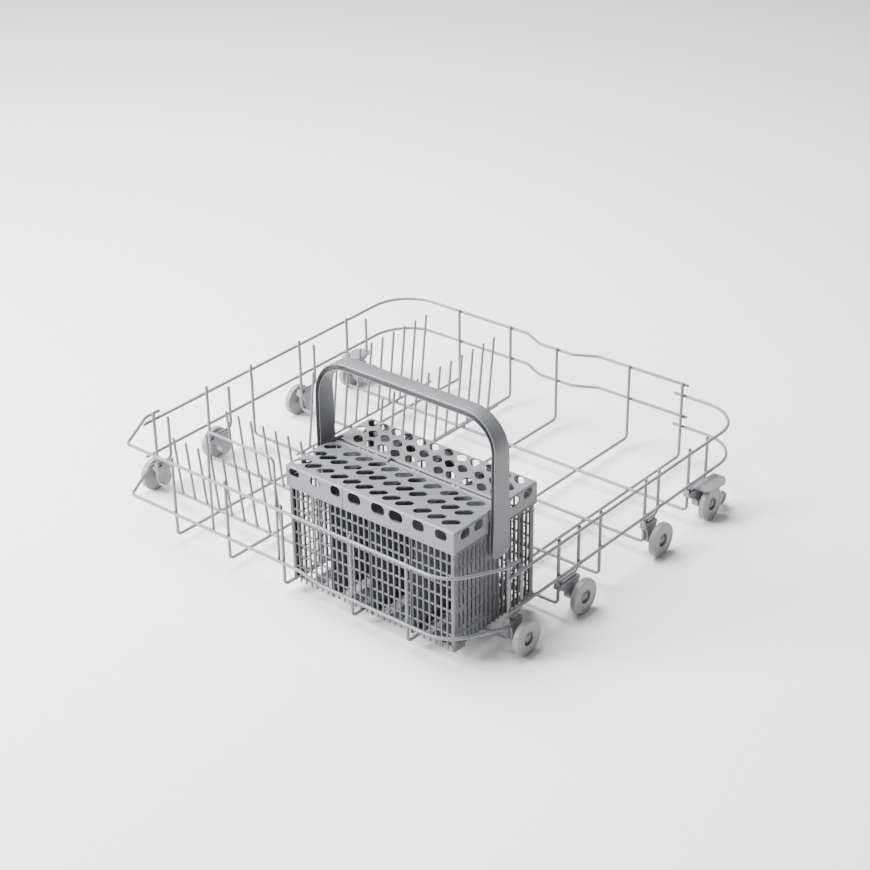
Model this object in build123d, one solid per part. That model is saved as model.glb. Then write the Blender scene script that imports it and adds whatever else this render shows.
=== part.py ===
from build123d import *
import os
from math import acos, ceil, cos, hypot, radians, sin, sqrt, tan

# Lower rack of a dishwasher: a welded wire basket that rolls on eight wheels, with a lift-out
# cutlery basket standing in its front right corner.
# Millimetres. X runs to the right, Y to the back, Z up. The origin lies on the ground that the
# wheels roll on, under the middle of the rack.

# Wire rack: sizes between the centre lines of the rim wires
RACK_WIDTH = 500.0
RACK_DEPTH = 488.0
WIRE = 3.6              # coated wire, measured across its flats
TINE = 3.0              # thinner wire of the plate tines and the divider loop
WIRE_SIDES = 6          # flats drawn on each wire
BEND_SAG = 0.35         # how far the short straight steps drawn in a bend leave its arc
BEND = 7.0              # centre line radius where a wire turns from wall to floor
FLOOR_HEIGHT = 12.8     # where the two layers of floor wires touch
TOP_STUB = 4.5          # how far a wall wire stands above its upper rim

# Rim wires
FRONT_UPPER = 101.0
FRONT_LOWER = 39.0
FRONT_DIP = 6.0         # the lower front rim drops by this much in front of the cutlery basket
FRONT_DIP_X = 28.0
DIP_RUN = 30.0
SIDE_UPPER = 87.0
SIDE_LOWER = 48.0
BACK_UPPER = 101.0
BACK_LOWER = 60.8
LEFT_FALL = 1.06        # degrees by which the back and left rims fall towards the front
CORNER_IN = 30.5        # front corner cut: along X
CORNER_BACK = 55.0      # front corner cut: along Y
TIGHT_CORNER = 9.0
SOFT_CORNER = 18.0
RIGHT_CORNER = 40.0
REAR_CORNER = 50.0
SPLICE = 13.0           # how far a rim wire runs on past the last wall wire that it shares
RECESS_HALF = 24.0      # half width of the step in the back rim
RECESS_SLOPE = 28.0
RECESS_DEPTH = 14.0
RECESS_BEND = 16.0
WELD = 0.05             # stands the leaning back rims off the upright wires

# Wall and floor wires, as distances from the front rim and from the middle of the rack
CROSS_AT = (63.3, 144.4, 215.6, 296.9, 380.2)
LENGTHWISE_AT = (-154.0, -75.0, 4.1, 97.0, 169.0)

# Wheel carriers: each hangs on a cross wire and a stirrup wire behind it
STIRRUP_AT = (83.7, 178.2, 321.3, 415.4)
STIRRUP_HEIGHT = 39.0
WHEEL_AT = (71.4, 166.3, 306.1, 402.7)
WHEEL_DIAMETER = 38.0
WHEEL_SIDES = 32                    # flats drawn round each wheel
WHEEL_WIDTH = 7.0
WHEEL_GAP = 7.0                     # from the rim wire to the inner face of a wheel
BORE_SIDES = 16                     # flats drawn in a wheel's bore, all outside its pin
AXLE = 6.0
AXLE_HEAD = 8.8
AXLE_HEAD_LENGTH = 1.7
AXLE_SLIT = 1.2
HUB_RECESS = 13.0
HUB_RECESS_DEPTH = 2.4
RUN_FIT = 0.06                      # radial gap of an axle or a hinge pin
CARRIER_PLATE = 3.0
CARRIER_TOP = 36.4
CARRIER_BOSS = 8.0
AXLE_COLLAR = 5.0
CARRIER_MARGIN = 4.5                # how far a carrier reaches past its two wires
HOOK_TOP = 43.6
WING_THICK = 2.5
WING_REACH = 19.0
WING_LENGTH = 40.0
STOP_DISC = 16.0
STOP_DISC_BEHIND = 28.5
STOP_DISC_HEIGHT = 12.0
STOP_DISC_REACH = 10.0

# Plate tines and the divider loop
SIDE_TINES = 9
SIDE_TINE_PITCH = 19.1
SIDE_TINE_LAST_X = -55.6
SIDE_TINE_TOP = 83.0
SIDE_TINE_LEAN = 8.5
PLATE_TINES = 11
PLATE_TINE_PITCH = 20.0
PLATE_TINE_FIRST_Y = 226.0
PLATE_TINE_ROWS = (-168.0, -64.0)
PLATE_TINE_TOP = 111.0
PLATE_TINE_LEAN = 12.0
LOOP_LEFT = -97.0
LOOP_RIGHT = -2.0
LOOP_TOP = 156.0

# Cutlery basket: outer size over the aprons of its lid
BASKET_LENGTH = 217.4
BASKET_FROM_SIDE = 28.4             # from the right rims to the basket
BASKET_FRONT = 12.2                 # behind the front rim
BASKET_WIDTH = 129.6
LID_TOP = 148.2
APRON_DEEP = 24.0
WALL = 2.0
SEAT_GAP = 0.3                      # gap between pieces that rest on or beside each other
COMPARTMENTS = 4
SLOTS_PER_BAY = 4
SLOT_ROWS = 2
BAR = 3.0                           # plastic left between two openings of a wall
END_SLOTS = 7
DIVIDER = 1.6
FOOT_LENGTH = 20.0
POST = 8.0

# Lid flaps
LEFT_FLAP_LENGTH = 76.5
FLAP_GAP = 0.6
HINGE_BEHIND = 8.0                  # from the middle of the basket back to its long divider
HINGE_OFFSET = 3.4                  # from the long divider to each hinge line
HINGE_PIN = 3.6
LUG = 3.0
LUG_EDGE = 1.9                      # plastic left round a hinge pin
LUG_GAP = 0.4                       # from a lug to the edge of a flap that turns past it
CUTLERY_ROWS = 3
CUTLERY_COLUMNS = 3                 # openings side by side over one compartment
CUTLERY_PITCH = 16.4
SLOT_LONG = 17.0
SLOT_WIDE = 8.0
SLOT_TURN = 41.0
REAR_SLOT_LONG = 12.5
APRON_HOLE_LONG = 13.0
APRON_HOLE_TALL = 9.0
APRON_HOLE_DOWN = 7.5               # from the top of the lid to the middle of these holes
APRON_HOLES = 8
END_HOLES = 2

# Handle
HANDLE_TOP = 246.0
HANDLE_WIDTH = 21.0
HANDLE_THICK = 5.6
HANDLE_CORNER = 36.0
HANDLE_FOOT = 95.8
HANDLE_PAD_WIDTH = 26.0
HANDLE_PAD_HEIGHT = 24.0
STUD = 7.0

# Values that follow from the sizes above
FRONT_Y = -RACK_DEPTH / 2
BACK_Y = RACK_DEPTH / 2
WALL_X = RACK_WIDTH / 2 - WIRE
WALL_Y = RACK_DEPTH / 2 - WIRE
CROSS_Z = FLOOR_HEIGHT + WIRE / 2
LENGTHWISE_Z = FLOOR_HEIGHT - WIRE / 2
FLOOR_TOP = FLOOR_HEIGHT + WIRE
HUB_Z = WHEEL_DIAMETER / 2
WHEEL_X = RACK_WIDTH / 2 + WIRE / 2 + WHEEL_GAP
BASKET_RIGHT = RACK_WIDTH / 2 - BASKET_FROM_SIDE
BASKET_LEFT = BASKET_RIGHT - BASKET_LENGTH
LID_SEAM = BASKET_LEFT + LEFT_FLAP_LENGTH + FLAP_GAP / 2
BASKET_Y0 = FRONT_Y + BASKET_FRONT
BASKET_Y1 = BASKET_Y0 + BASKET_WIDTH
BASKET_MID_X = (BASKET_LEFT + BASKET_RIGHT) / 2
BASKET_MID_Y = (BASKET_Y0 + BASKET_Y1) / 2
BODY_X0 = BASKET_LEFT + WALL + SEAT_GAP
BODY_X1 = BASKET_RIGHT - WALL - SEAT_GAP
BODY_Y0 = BASKET_Y0 + WALL + SEAT_GAP
BODY_Y1 = BASKET_Y1 - WALL - SEAT_GAP
BODY_Z0 = FLOOR_TOP + SEAT_GAP
BODY_Z1 = LID_TOP - WALL - SEAT_GAP
FOOT_Z = FLOOR_HEIGHT + SEAT_GAP
APRON_Z = LID_TOP - APRON_DEEP
BAY = (BODY_X1 - BODY_X0 - 2 * WALL) / COMPARTMENTS
DIVIDER_Y = BASKET_MID_Y + HINGE_BEHIND
HINGE_Z = LID_TOP - WALL / 2
LUG_ROUND = HINGE_PIN / 2 + LUG_EDGE
DIVIDER_TOP = HINGE_Z - LUG_ROUND


def from_front(distance):
    return FRONT_Y + distance


def save(name, solids):
    for solid in solids:
        solid.label = name
    export_step(Compound(children=solids), "parts/" + name + ".step")


def mirrored(solids):
    return [mirror(solid, about=Plane.YZ) for solid in solids]


def box_between(one, other):
    """A box given by two opposite corners, in any order."""
    size = [abs(b - a) for a, b in zip(one, other)]
    middle = [(a + b) / 2 for a, b in zip(one, other)]
    return Box(*size).translate(tuple(middle))


def rod_along_x(start, end, radius, y, z):
    rod = Cylinder(radius, abs(end - start)).rotate(Axis.Y, 90)
    return rod.translate(((start + end) / 2, y, z))


def flatted_rod(start, end, radius, y, z, sides):
    """A rod along X with flats, which touch the circle of the given radius from outside."""
    section = RegularPolygon(radius, sides, major_radius=False)
    rod = extrude(section, end - start).rotate(Axis.Y, 90)
    return rod.translate((start, y, z))


def bend_points(before, corner, after, radius):
    """Points along the arc that rounds a corner, close enough to keep within BEND_SAG of it."""
    into = (corner - before).normalized()
    out = (after - corner).normalized()
    turn = radians(into.get_angle(out))
    toward = (out - into * cos(turn)).normalized()
    centre = corner - into * (radius * tan(turn / 2)) + toward * radius
    steps = ceil(turn / (2 * acos(1 - BEND_SAG / radius)))
    angles = [turn * number / steps for number in range(steps + 1)]
    return [centre + (into * sin(angle) - toward * cos(angle)) * radius for angle in angles]


def bent_path(points, radii):
    corners = [Vector(*point) for point in points]
    path = [corners[0]]
    for before, corner, after, radius in zip(corners, corners[1:], corners[2:], radii):
        path += bend_points(before, corner, after, radius)
    path.append(corners[-1])
    return Polyline(*path)


def bent_wire(points, radii, gauge, normal, turned=False):
    """A bent wire whose flats lie square to its bends, or level with them when turned."""
    path = bent_path(points, radii)
    plane = Plane(origin=path @ 0, x_dir=normal, z_dir=path % 0)
    turn = 180 / WIRE_SIDES if turned else 0
    section = RegularPolygon(gauge / 2, WIRE_SIDES, major_radius=False, rotation=turn)
    return sweep(plane * section, path=path, transition=Transition.RIGHT)


# Rims: three wires at each level, spliced on the wall wires


def front_rim(height, dip):
    """Front wire with a cut corner at each end; the lower one dips before the basket."""
    low = height - dip
    middle = ()
    middle_radii = []
    if dip:
        middle = ((FRONT_DIP_X, FRONT_Y, height), (FRONT_DIP_X + DIP_RUN, FRONT_Y, low))
        middle_radii = [REAR_CORNER, REAR_CORNER]
    end = from_front(CROSS_AT[0] + SPLICE)
    side = from_front(CORNER_BACK)
    points = (
        (-RACK_WIDTH / 2, end, height),
        (-RACK_WIDTH / 2, side, height),
        (CORNER_IN - RACK_WIDTH / 2, FRONT_Y, height),
        *middle,
        (RACK_WIDTH / 2 - CORNER_IN, FRONT_Y, low),
        (RACK_WIDTH / 2, side, low),
        (RACK_WIDTH / 2, end, low),
    )
    radii = [SOFT_CORNER, TIGHT_CORNER] + middle_radii + [RIGHT_CORNER, SOFT_CORNER]
    return bent_wire(points, radii, WIRE, (0, 0, 1))


def right_rim(height):
    """Right wire: along the side and round the big rear corner."""
    points = (
        (RACK_WIDTH / 2, from_front(CROSS_AT[0] - SPLICE / 2), height),
        (RACK_WIDTH / 2, BACK_Y, height),
        (LENGTHWISE_AT[-1] - SPLICE, BACK_Y, height),
    )
    return bent_wire(points, [REAR_CORNER], WIRE, (0, 0, 1))


def back_rim(height):
    """Back and left wire: stepped in behind the middle, then forward along the left side."""
    back = BACK_Y + WELD
    inner = back - RECESS_DEPTH
    outer_x = RECESS_HALF + RECESS_SLOPE
    points = (
        (LENGTHWISE_AT[-1] + SPLICE / 2, back, height),
        (outer_x, back, height),
        (RECESS_HALF, inner, height),
        (-RECESS_HALF, inner, height),
        (-outer_x, back, height),
        (-RACK_WIDTH / 2, back, height),
        (-RACK_WIDTH / 2, from_front(CROSS_AT[0] - SPLICE), height),
    )
    radii = [RECESS_BEND] * 4 + [REAR_CORNER]
    rim = bent_wire(points, radii, WIRE, (0, 0, 1))
    return rim.rotate(Axis((0, back, height), (1, 0, 0)), LEFT_FALL)


# Wall and floor wires


def cross_wire(number):
    """A wire that runs down the left wall, across the floor and up the right wall."""
    y = from_front(CROSS_AT[number])
    left_top = FRONT_UPPER + TOP_STUB
    right_top = left_top if number == 0 else SIDE_UPPER + TOP_STUB
    points = (
        (-WALL_X, y, left_top),
        (-WALL_X, y, CROSS_Z),
        (WALL_X, y, CROSS_Z),
        (WALL_X, y, right_top),
    )
    return bent_wire(points, [BEND, BEND], WIRE, (0, 1, 0))


def lengthwise_wire(x):
    """A wire that runs down the front wall, along the floor and up the back wall."""
    step = RECESS_DEPTH if abs(x) < RECESS_HALF else 0
    points = (
        (x, -WALL_Y, FRONT_UPPER + TOP_STUB),
        (x, -WALL_Y, LENGTHWISE_Z),
        (x, WALL_Y - step, LENGTHWISE_Z),
        (x, WALL_Y - step, BACK_UPPER + TOP_STUB),
    )
    return bent_wire(points, [BEND, BEND], WIRE, (1, 0, 0))


def cross_before(number):
    """Where the last cross wire in front of a stirrup wire stands."""
    return from_front(max(place for place in CROSS_AT if place < STIRRUP_AT[number]))


def stirrup_wire(number):
    """A short wall wire that turns forward above a wheel and meets the cross wire before it."""
    front = cross_before(number) + WIRE / sqrt(3)
    back = from_front(STIRRUP_AT[number])
    points = (
        (WALL_X, back, SIDE_UPPER + TOP_STUB),
        (WALL_X, back, STIRRUP_HEIGHT),
        (WALL_X, front, STIRRUP_HEIGHT),
    )
    return bent_wire(points, [BEND], WIRE, (1, 0, 0), turned=True)


# Wheels and their carriers, made for the right side


def carrier_outline(front, back, hub):
    """Side view of a carrier: wide on its two wires, drawn in to the round hub below."""
    corners = [
        (front, CARRIER_TOP - CARRIER_PLATE),
        (front, CARRIER_TOP),
        (back, CARRIER_TOP),
        (back, CARRIER_TOP - CARRIER_PLATE),
    ]
    for angle in range(30, -211, -30):
        across = CARRIER_BOSS * cos(radians(angle))
        corners.append((hub + across, HUB_Z + CARRIER_BOSS * sin(radians(angle))))
    return Plane.YZ * make_face(Polyline(*corners, close=True))


def wheel_carrier(number):
    """A clip moulded round the wires, with an axle whose slit head snaps into the wheel."""
    cross_y = cross_before(number)
    stirrup_y = from_front(STIRRUP_AT[number])
    hub = from_front(WHEEL_AT[number])
    front = cross_y - CARRIER_MARGIN
    back = stirrup_y + CARRIER_MARGIN
    inner_x = WALL_X - WIRE / 2 - CARRIER_PLATE
    outer_x = RACK_WIDTH / 2 + CARRIER_PLATE / 2
    head_x = WHEEL_X + WHEEL_WIDTH - HUB_RECESS_DEPTH + SEAT_GAP
    body = extrude(carrier_outline(front, back, hub), outer_x - inner_x)
    body = body.translate((inner_x, 0, 0))
    body += flatted_rod(outer_x, WHEEL_X - SEAT_GAP, AXLE_COLLAR, hub, HUB_Z, BORE_SIDES)
    body += rod_along_x(outer_x, head_x, AXLE / 2, hub, HUB_Z)
    head_end = head_x + AXLE_HEAD_LENGTH
    body += flatted_rod(head_x, head_end, AXLE_HEAD / 2, hub, HUB_Z, BORE_SIDES // 2)
    hook_x = WALL_X + WIRE / 2 - SEAT_GAP
    hook_low = (inner_x, cross_y + WIRE, CARRIER_TOP)
    body += box_between(hook_low, (hook_x, stirrup_y - BEND, HOOK_TOP))
    if number == len(WHEEL_AT) - 1:
        body += rear_wing(hub, outer_x)
        body += stop_disc(hub, outer_x)
    if number == 0:
        body -= rim_notch(outer_x)
    corner = WIRE / sqrt(3) + SEAT_GAP
    grip_x = WALL_X + WIRE / 2 + SEAT_GAP
    body -= box_between(
        (inner_x - WIRE, cross_y - corner, 0), (grip_x, cross_y + corner, HOOK_TOP + WIRE)
    )
    body -= box_between(
        (grip_x - WIRE - 2 * SEAT_GAP, cross_y, STIRRUP_HEIGHT - corner),
        (grip_x, back + WIRE, STIRRUP_HEIGHT + corner),
    )
    slit = AXLE_SLIT / 2
    body -= box_between((head_x - WIRE, hub - slit, 0), (head_x + WIRE, hub + slit, HOOK_TOP))
    return body


def rim_notch(outer_x):
    """Room in the first carrier for the end of the lower front rim."""
    low = FRONT_LOWER - FRONT_DIP - WIRE / sqrt(3) - SEAT_GAP
    near = (RACK_WIDTH / 2 - WIRE / 2 - SEAT_GAP, FRONT_Y, low)
    return box_between(near, (outer_x + WIRE, BACK_Y, HOOK_TOP))


def rear_wing(hub, outer_x):
    """The flat guard over the rearmost wheel."""
    low = WHEEL_DIAMETER + 3 * SEAT_GAP
    inner_x = outer_x - CARRIER_PLATE
    corners = (
        (inner_x, hub - WING_LENGTH * 0.35),
        (outer_x + WING_REACH * 0.6, hub - WING_LENGTH * 0.35),
        (outer_x + WING_REACH, hub - WING_LENGTH * 0.1),
        (outer_x + WING_REACH, hub + WING_LENGTH * 0.4),
        (outer_x + WING_REACH * 0.6, hub + WING_LENGTH * 0.65),
        (inner_x, hub + WING_LENGTH * 0.65),
    )
    wing = extrude(make_face(Polyline(*corners, close=True)), WING_THICK)
    wing = wing.translate((0, 0, low))
    post_low = (inner_x, hub - CARRIER_BOSS, CARRIER_TOP - CARRIER_PLATE)
    return wing + box_between(post_low, (outer_x, hub + CARRIER_BOSS, low))


def stop_disc(hub, outer_x):
    """The round stop behind the rearmost wheel, on an arm of the carrier."""
    y = hub + STOP_DISC_BEHIND
    inner_x = outer_x - CARRIER_PLATE
    arm_top = STOP_DISC_HEIGHT + CARRIER_BOSS
    arm = box_between((inner_x, hub, STOP_DISC_HEIGHT), (outer_x, y, arm_top))
    disc_end = outer_x + STOP_DISC_REACH
    disc = flatted_rod(inner_x, disc_end, STOP_DISC / 2, y, STOP_DISC_HEIGHT, WHEEL_SIDES // 2)
    return arm + disc


def wheel(number):
    """A plain plastic wheel with a sunk hub for the snap head of its axle."""
    rim = RegularPolygon(
        WHEEL_DIAMETER / 2, WHEEL_SIDES, major_radius=False, rotation=180 / WHEEL_SIDES
    )
    disc = extrude(rim, WHEEL_WIDTH)
    sunk = extrude(RegularPolygon(HUB_RECESS / 2, WHEEL_SIDES // 2), HUB_RECESS_DEPTH)
    disc -= sunk.translate((0, 0, WHEEL_WIDTH - HUB_RECESS_DEPTH))
    bore = RegularPolygon(AXLE / 2 + RUN_FIT, BORE_SIDES, major_radius=False)
    disc -= extrude(bore, WHEEL_WIDTH)
    disc = disc.rotate(Axis.Y, 90)
    return disc.translate((WHEEL_X, from_front(WHEEL_AT[number]), HUB_Z))


# Tines and the divider loop


def tine(x, y, foot, top, lean_x, lean_y):
    """A straight tine, cut level at its foot where it is welded to the wire below."""
    section = Plane((x, y, foot)) * RegularPolygon(TINE / 2, WIRE_SIDES, major_radius=False)
    rise = top - foot
    return extrude(section, hypot(rise, lean_x, lean_y), dir=(lean_x, lean_y, rise))


def side_plate_tines(number):
    """A row along a cross wire, leaning to the left."""
    y = from_front(CROSS_AT[number])
    places = [SIDE_TINE_LAST_X - count * SIDE_TINE_PITCH for count in range(SIDE_TINES)]
    return [tine(x, y, FLOOR_TOP, SIDE_TINE_TOP, -SIDE_TINE_LEAN, 0) for x in places]


def dinner_plate_rod(x):
    """The rod under a row of tall tines, which lies on the cross wires."""
    first = from_front(CROSS_AT[2]) - SPLICE
    last = from_front(PLATE_TINE_FIRST_Y + PLATE_TINES * PLATE_TINE_PITCH)
    plane = Plane((x, first, FLOOR_TOP + TINE / 2), x_dir=(1, 0, 0), z_dir=(0, 1, 0))
    section = RegularPolygon(TINE / 2, WIRE_SIDES, major_radius=False)
    return extrude(plane * section, last - first)


def dinner_plate_tines(x):
    """A row of tall tines along a rod, leaning back."""
    places = [PLATE_TINE_FIRST_Y + count * PLATE_TINE_PITCH for count in range(PLATE_TINES)]
    foot = FLOOR_TOP + TINE
    return [tine(x, from_front(y), foot, PLATE_TINE_TOP, 0, PLATE_TINE_LEAN) for y in places]


def divider_loop():
    """The tall loop on the inside of the front rims, left of the cutlery basket."""
    y = FRONT_Y + (WIRE + TINE) / 2
    foot = FRONT_LOWER - WIRE / 2
    points = (
        (LOOP_LEFT, y, foot),
        (LOOP_LEFT, y, LOOP_TOP),
        (LOOP_RIGHT, y, LOOP_TOP),
        (LOOP_RIGHT, y, foot),
    )
    return bent_wire(points, [BEND, BEND], TINE, (0, 1, 0), turned=True)


# Cutlery basket


def bay_start(number):
    return BODY_X0 + WALL + number * BAY


def long_wall(y):
    """A long wall: a lattice of upright openings, four compartments wide."""
    wall = box_between((BODY_X0 + POST, y, FOOT_Z), (BODY_X1 - POST, y + WALL, BODY_Z1))
    row_pitch = (APRON_Z - BODY_Z0 - BAR) / SLOT_ROWS
    openings = []
    for bay in range(COMPARTMENTS):
        start = max(bay_start(bay) - BAR / 2, BODY_X0 + POST)
        end = min(bay_start(bay + 1) + BAR / 2, BODY_X1 - POST)
        pitch = (end - start - BAR) / SLOTS_PER_BAY
        for column in range(SLOTS_PER_BAY):
            for row in range(SLOT_ROWS):
                x = start + BAR + column * pitch
                z = BODY_Z0 + BAR + row * row_pitch
                near = (x, y - WALL, z)
                far = (x + pitch - BAR, y + 2 * WALL, z + row_pitch - BAR)
                openings.append(box_between(near, far))
    return wall - openings


def end_wall(x):
    """An end wall of close upright fins, solid where the handle is fixed."""
    y0 = BODY_Y0 + POST
    y1 = BODY_Y1 - POST
    wall = box_between((x, y0, BODY_Z0), (x + WALL, y1, BODY_Z1))
    pitch = (y1 - y0 - BAR) / END_SLOTS
    openings = []
    for slot in range(END_SLOTS):
        y = y0 + BAR + slot * pitch
        middle = y + (pitch - BAR) / 2
        under_pad = abs(middle - BASKET_MID_Y) < (HANDLE_PAD_WIDTH + pitch) / 2
        top = HANDLE_FOOT if under_pad else APRON_Z
        near = (x - WALL, y, BODY_Z0 + BAR)
        openings.append(box_between(near, (x + 2 * WALL, y + pitch - BAR, top - BAR)))
    return wall - openings - handle_stud(x - WALL, x + 2 * WALL, SEAT_GAP)


def handle_stud(start, end, gap):
    """The square stud that holds the handle in an end wall, or with a gap, its hole."""
    half = STUD / 2 + gap
    z = HANDLE_FOOT + HANDLE_PAD_HEIGHT / 2
    near = (start, BASKET_MID_Y - half, z - half)
    return box_between(near, (end, BASKET_MID_Y + half, z + half))


def corner_post(right, back):
    """An angled corner post that ends in a foot under the end wall."""
    x = BODY_X1 if right else BODY_X0
    y = BODY_Y1 if back else BODY_Y0
    in_x = -1 if right else 1
    in_y = -1 if back else 1
    along = box_between((x, y, FOOT_Z), (x + in_x * POST, y + in_y * WALL, BODY_Z1))
    across = box_between((x, y, FOOT_Z), (x + in_x * WALL, y + in_y * POST, BODY_Z1))
    foot = box_between((x, y, FOOT_Z), (x + in_x * WALL, y + in_y * FOOT_LENGTH, BODY_Z0))
    return along + across + foot


def basket_floor():
    """The floor: a plate with four drain slots in each compartment."""
    near = (BODY_X0 + WALL, BODY_Y0 + WALL, BODY_Z0)
    plate = box_between(near, (BODY_X1 - WALL, BODY_Y1 - WALL, BODY_Z0 + WALL))
    slots = []
    for edge, side in ((BODY_Y0 + WALL, 1), (BODY_Y1 - WALL, -1)):
        length = abs(DIVIDER_Y - edge) - DIVIDER - 2 * BAR
        for bay in range(COMPARTMENTS):
            for quarter in (1, 3):
                x = bay_start(bay) + BAY * quarter / 4
                y = edge + side * (BAR + length / 2)
                slots.append(Box(BAY / 4, length, 4 * WALL).translate((x, y, BODY_Z0)))
    return plate - slots


def long_divider():
    near = (BODY_X0 + WALL, DIVIDER_Y - DIVIDER / 2, BODY_Z0 + WALL)
    return box_between(near, (BODY_X1 - WALL, DIVIDER_Y + DIVIDER / 2, DIVIDER_TOP))


def cross_dividers():
    """Short walls between the compartments, before and behind the long divider."""
    low = BODY_Z0 + WALL
    half = DIVIDER / 2
    walls = []
    for bay in range(1, COMPARTMENTS):
        x = bay_start(bay)
        front = (x - half, BODY_Y0 + WALL, low)
        walls.append(box_between(front, (x + half, DIVIDER_Y - half, DIVIDER_TOP)))
        rear = (x - half, DIVIDER_Y + half, low)
        walls.append(box_between(rear, (x + half, BODY_Y1 - WALL, DIVIDER_TOP)))
    return walls


# Lid: two flaps in front and one behind, each with its own hinge line


def lug_spans():
    """Where the three hinge lugs start and end along X: at both ends and at the seam."""
    left = BODY_X0 + WALL
    right = BODY_X1 - WALL
    return (left, left + LUG), (LID_SEAM - LUG / 2, LID_SEAM + LUG / 2), (right - LUG, right)


def hinge_lugs():
    """Lugs that stand on the long divider, rounded about the hinge pins that they hold."""
    bore = HINGE_PIN / 2 + RUN_FIT
    lugs = []
    for number, (start, end) in enumerate(lug_spans()):
        front_pin = DIVIDER_Y - HINGE_OFFSET
        rear_pin = DIVIDER_Y + HINGE_OFFSET
        shared = number != 1
        rear = rear_pin if shared else DIVIDER_Y + DIVIDER / 2
        pins = (front_pin, rear_pin) if shared else (front_pin,)
        lug = box_between((start, front_pin, DIVIDER_TOP), (end, rear, HINGE_Z + LUG_ROUND))
        for pin_y in pins:
            lug += flatted_rod(start, end, LUG_ROUND, pin_y, HINGE_Z, BORE_SIDES)
        for pin_y in pins:
            lug -= flatted_rod(start, end, bore, pin_y, HINGE_Z, BORE_SIDES // 2)
        lugs.append(lug)
    return lugs


def flap_shoulder(front):
    """Where a flap draws in beside the handle and the lugs: its side, lug line and shoulder."""
    side = -1 if front else 1
    lug_y = DIVIDER_Y + side * (HINGE_OFFSET + LUG_ROUND + LUG_GAP)
    pad_y = BASKET_MID_Y + side * (HANDLE_PAD_WIDTH / 2 + 2 * SEAT_GAP)
    shoulder = min(lug_y, pad_y) if front else max(lug_y, pad_y)
    return side, lug_y, shoulder


def flap(x0, x1, front):
    """The plate of one lid flap: cutlery openings, a neck between the lugs, a hinge pin."""
    side, lug_y, shoulder = flap_shoulder(front)
    at_left = x0 == BASKET_LEFT
    at_right = x1 == BASKET_RIGHT
    hinge_y = DIVIDER_Y + side * HINGE_OFFSET
    outer_y = BASKET_Y0 if front else BASKET_Y1
    under = LID_TOP - WALL
    left_lug, seam_lug, right_lug = lug_spans()
    pin_x0 = (left_lug if at_left else seam_lug)[1] + SEAT_GAP
    pin_x1 = (right_lug if at_right else seam_lug)[0] - SEAT_GAP
    neck_x0 = BODY_X0 if at_left else x0
    neck_x1 = BODY_X1 if at_right else x1
    plate = box_between((x0, outer_y, under), (x1, shoulder, LID_TOP))
    if abs(shoulder - lug_y) > SEAT_GAP:
        plate += box_between((neck_x0, shoulder, under), (neck_x1, lug_y, LID_TOP))
    plate += box_between((pin_x0, lug_y, under), (pin_x1, hinge_y, LID_TOP))
    reach = SEAT_GAP / 2 + LUG / 2
    plate += rod_along_x(pin_x0 - reach, pin_x1 + reach, HINGE_PIN / 2, hinge_y, HINGE_Z)
    return plate - cutlery_openings(x0, x1, lug_y, outer_y, front)


def flap_aprons(x0, x1, front):
    """The aprons under the outer edges of one lid flap, which close over the basket walls."""
    side, lug_y, shoulder = flap_shoulder(front)
    outer_y = BASKET_Y0 if front else BASKET_Y1
    under = LID_TOP - WALL
    inner_y = outer_y - side * WALL
    openings = apron_openings(x0, x1, outer_y, shoulder)
    aprons = [box_between((x0, outer_y, APRON_Z), (x1, inner_y, under))]
    if x0 == BASKET_LEFT:
        aprons.append(box_between((x0, inner_y, APRON_Z), (x0 + WALL, shoulder, under)))
    if x1 == BASKET_RIGHT:
        aprons.append(box_between((x1 - WALL, inner_y, APRON_Z), (x1, shoulder, under)))
    return [apron - openings for apron in aprons]


def cutlery_openings(x0, x1, lug_y, outer_y, front):
    """Slanting slots: one way in a front flap, the other way and shorter in the rear one."""
    if front:
        shape = Box(SLOT_LONG, SLOT_WIDE, 3 * WALL).rotate(Axis.Z, SLOT_TURN)
    else:
        shape = Box(REAR_SLOT_LONG, SLOT_WIDE, 3 * WALL).rotate(Axis.Z, -SLOT_TURN)
    margin = SLOT_LONG / 3 + WALL
    openings = []
    for bay in range(COMPARTMENTS):
        for column in range(CUTLERY_COLUMNS):
            x = bay_start(bay) + BAY / 2 + (column - (CUTLERY_COLUMNS - 1) / 2) * CUTLERY_PITCH
            if not x0 + margin < x < x1 - margin:
                continue
            for row in range(CUTLERY_ROWS):
                y = lug_y + (outer_y - lug_y) * (row + 0.45) / CUTLERY_ROWS
                openings.append(shape.translate((x, y, LID_TOP)))
    return openings


def apron_openings(x0, x1, outer_y, shoulder):
    """The row of openings in the long apron, and the pairs in the end aprons."""
    z = LID_TOP - APRON_HOLE_DOWN
    oval = scale(RegularPolygon(0.5, WIRE_SIDES), by=(APRON_HOLE_LONG, APRON_HOLE_TALL, 1))
    through_y = extrude(oval, 2 * WALL, both=True).rotate(Axis.X, 90)
    through_x = through_y.rotate(Axis.Z, 90)
    openings = []
    for number in range(APRON_HOLES):
        x = BASKET_LEFT + (number + 0.5) * BASKET_LENGTH / APRON_HOLES
        if x0 < x < x1:
            openings.append(through_y.translate((x, outer_y, z)))
    for number in range(END_HOLES):
        y = outer_y + (shoulder - outer_y) * (number + 0.5) / END_HOLES
        for end in (x0, x1):
            if end in (BASKET_LEFT, BASKET_RIGHT):
                openings.append(through_x.translate((end, y, z)))
    return openings


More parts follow.
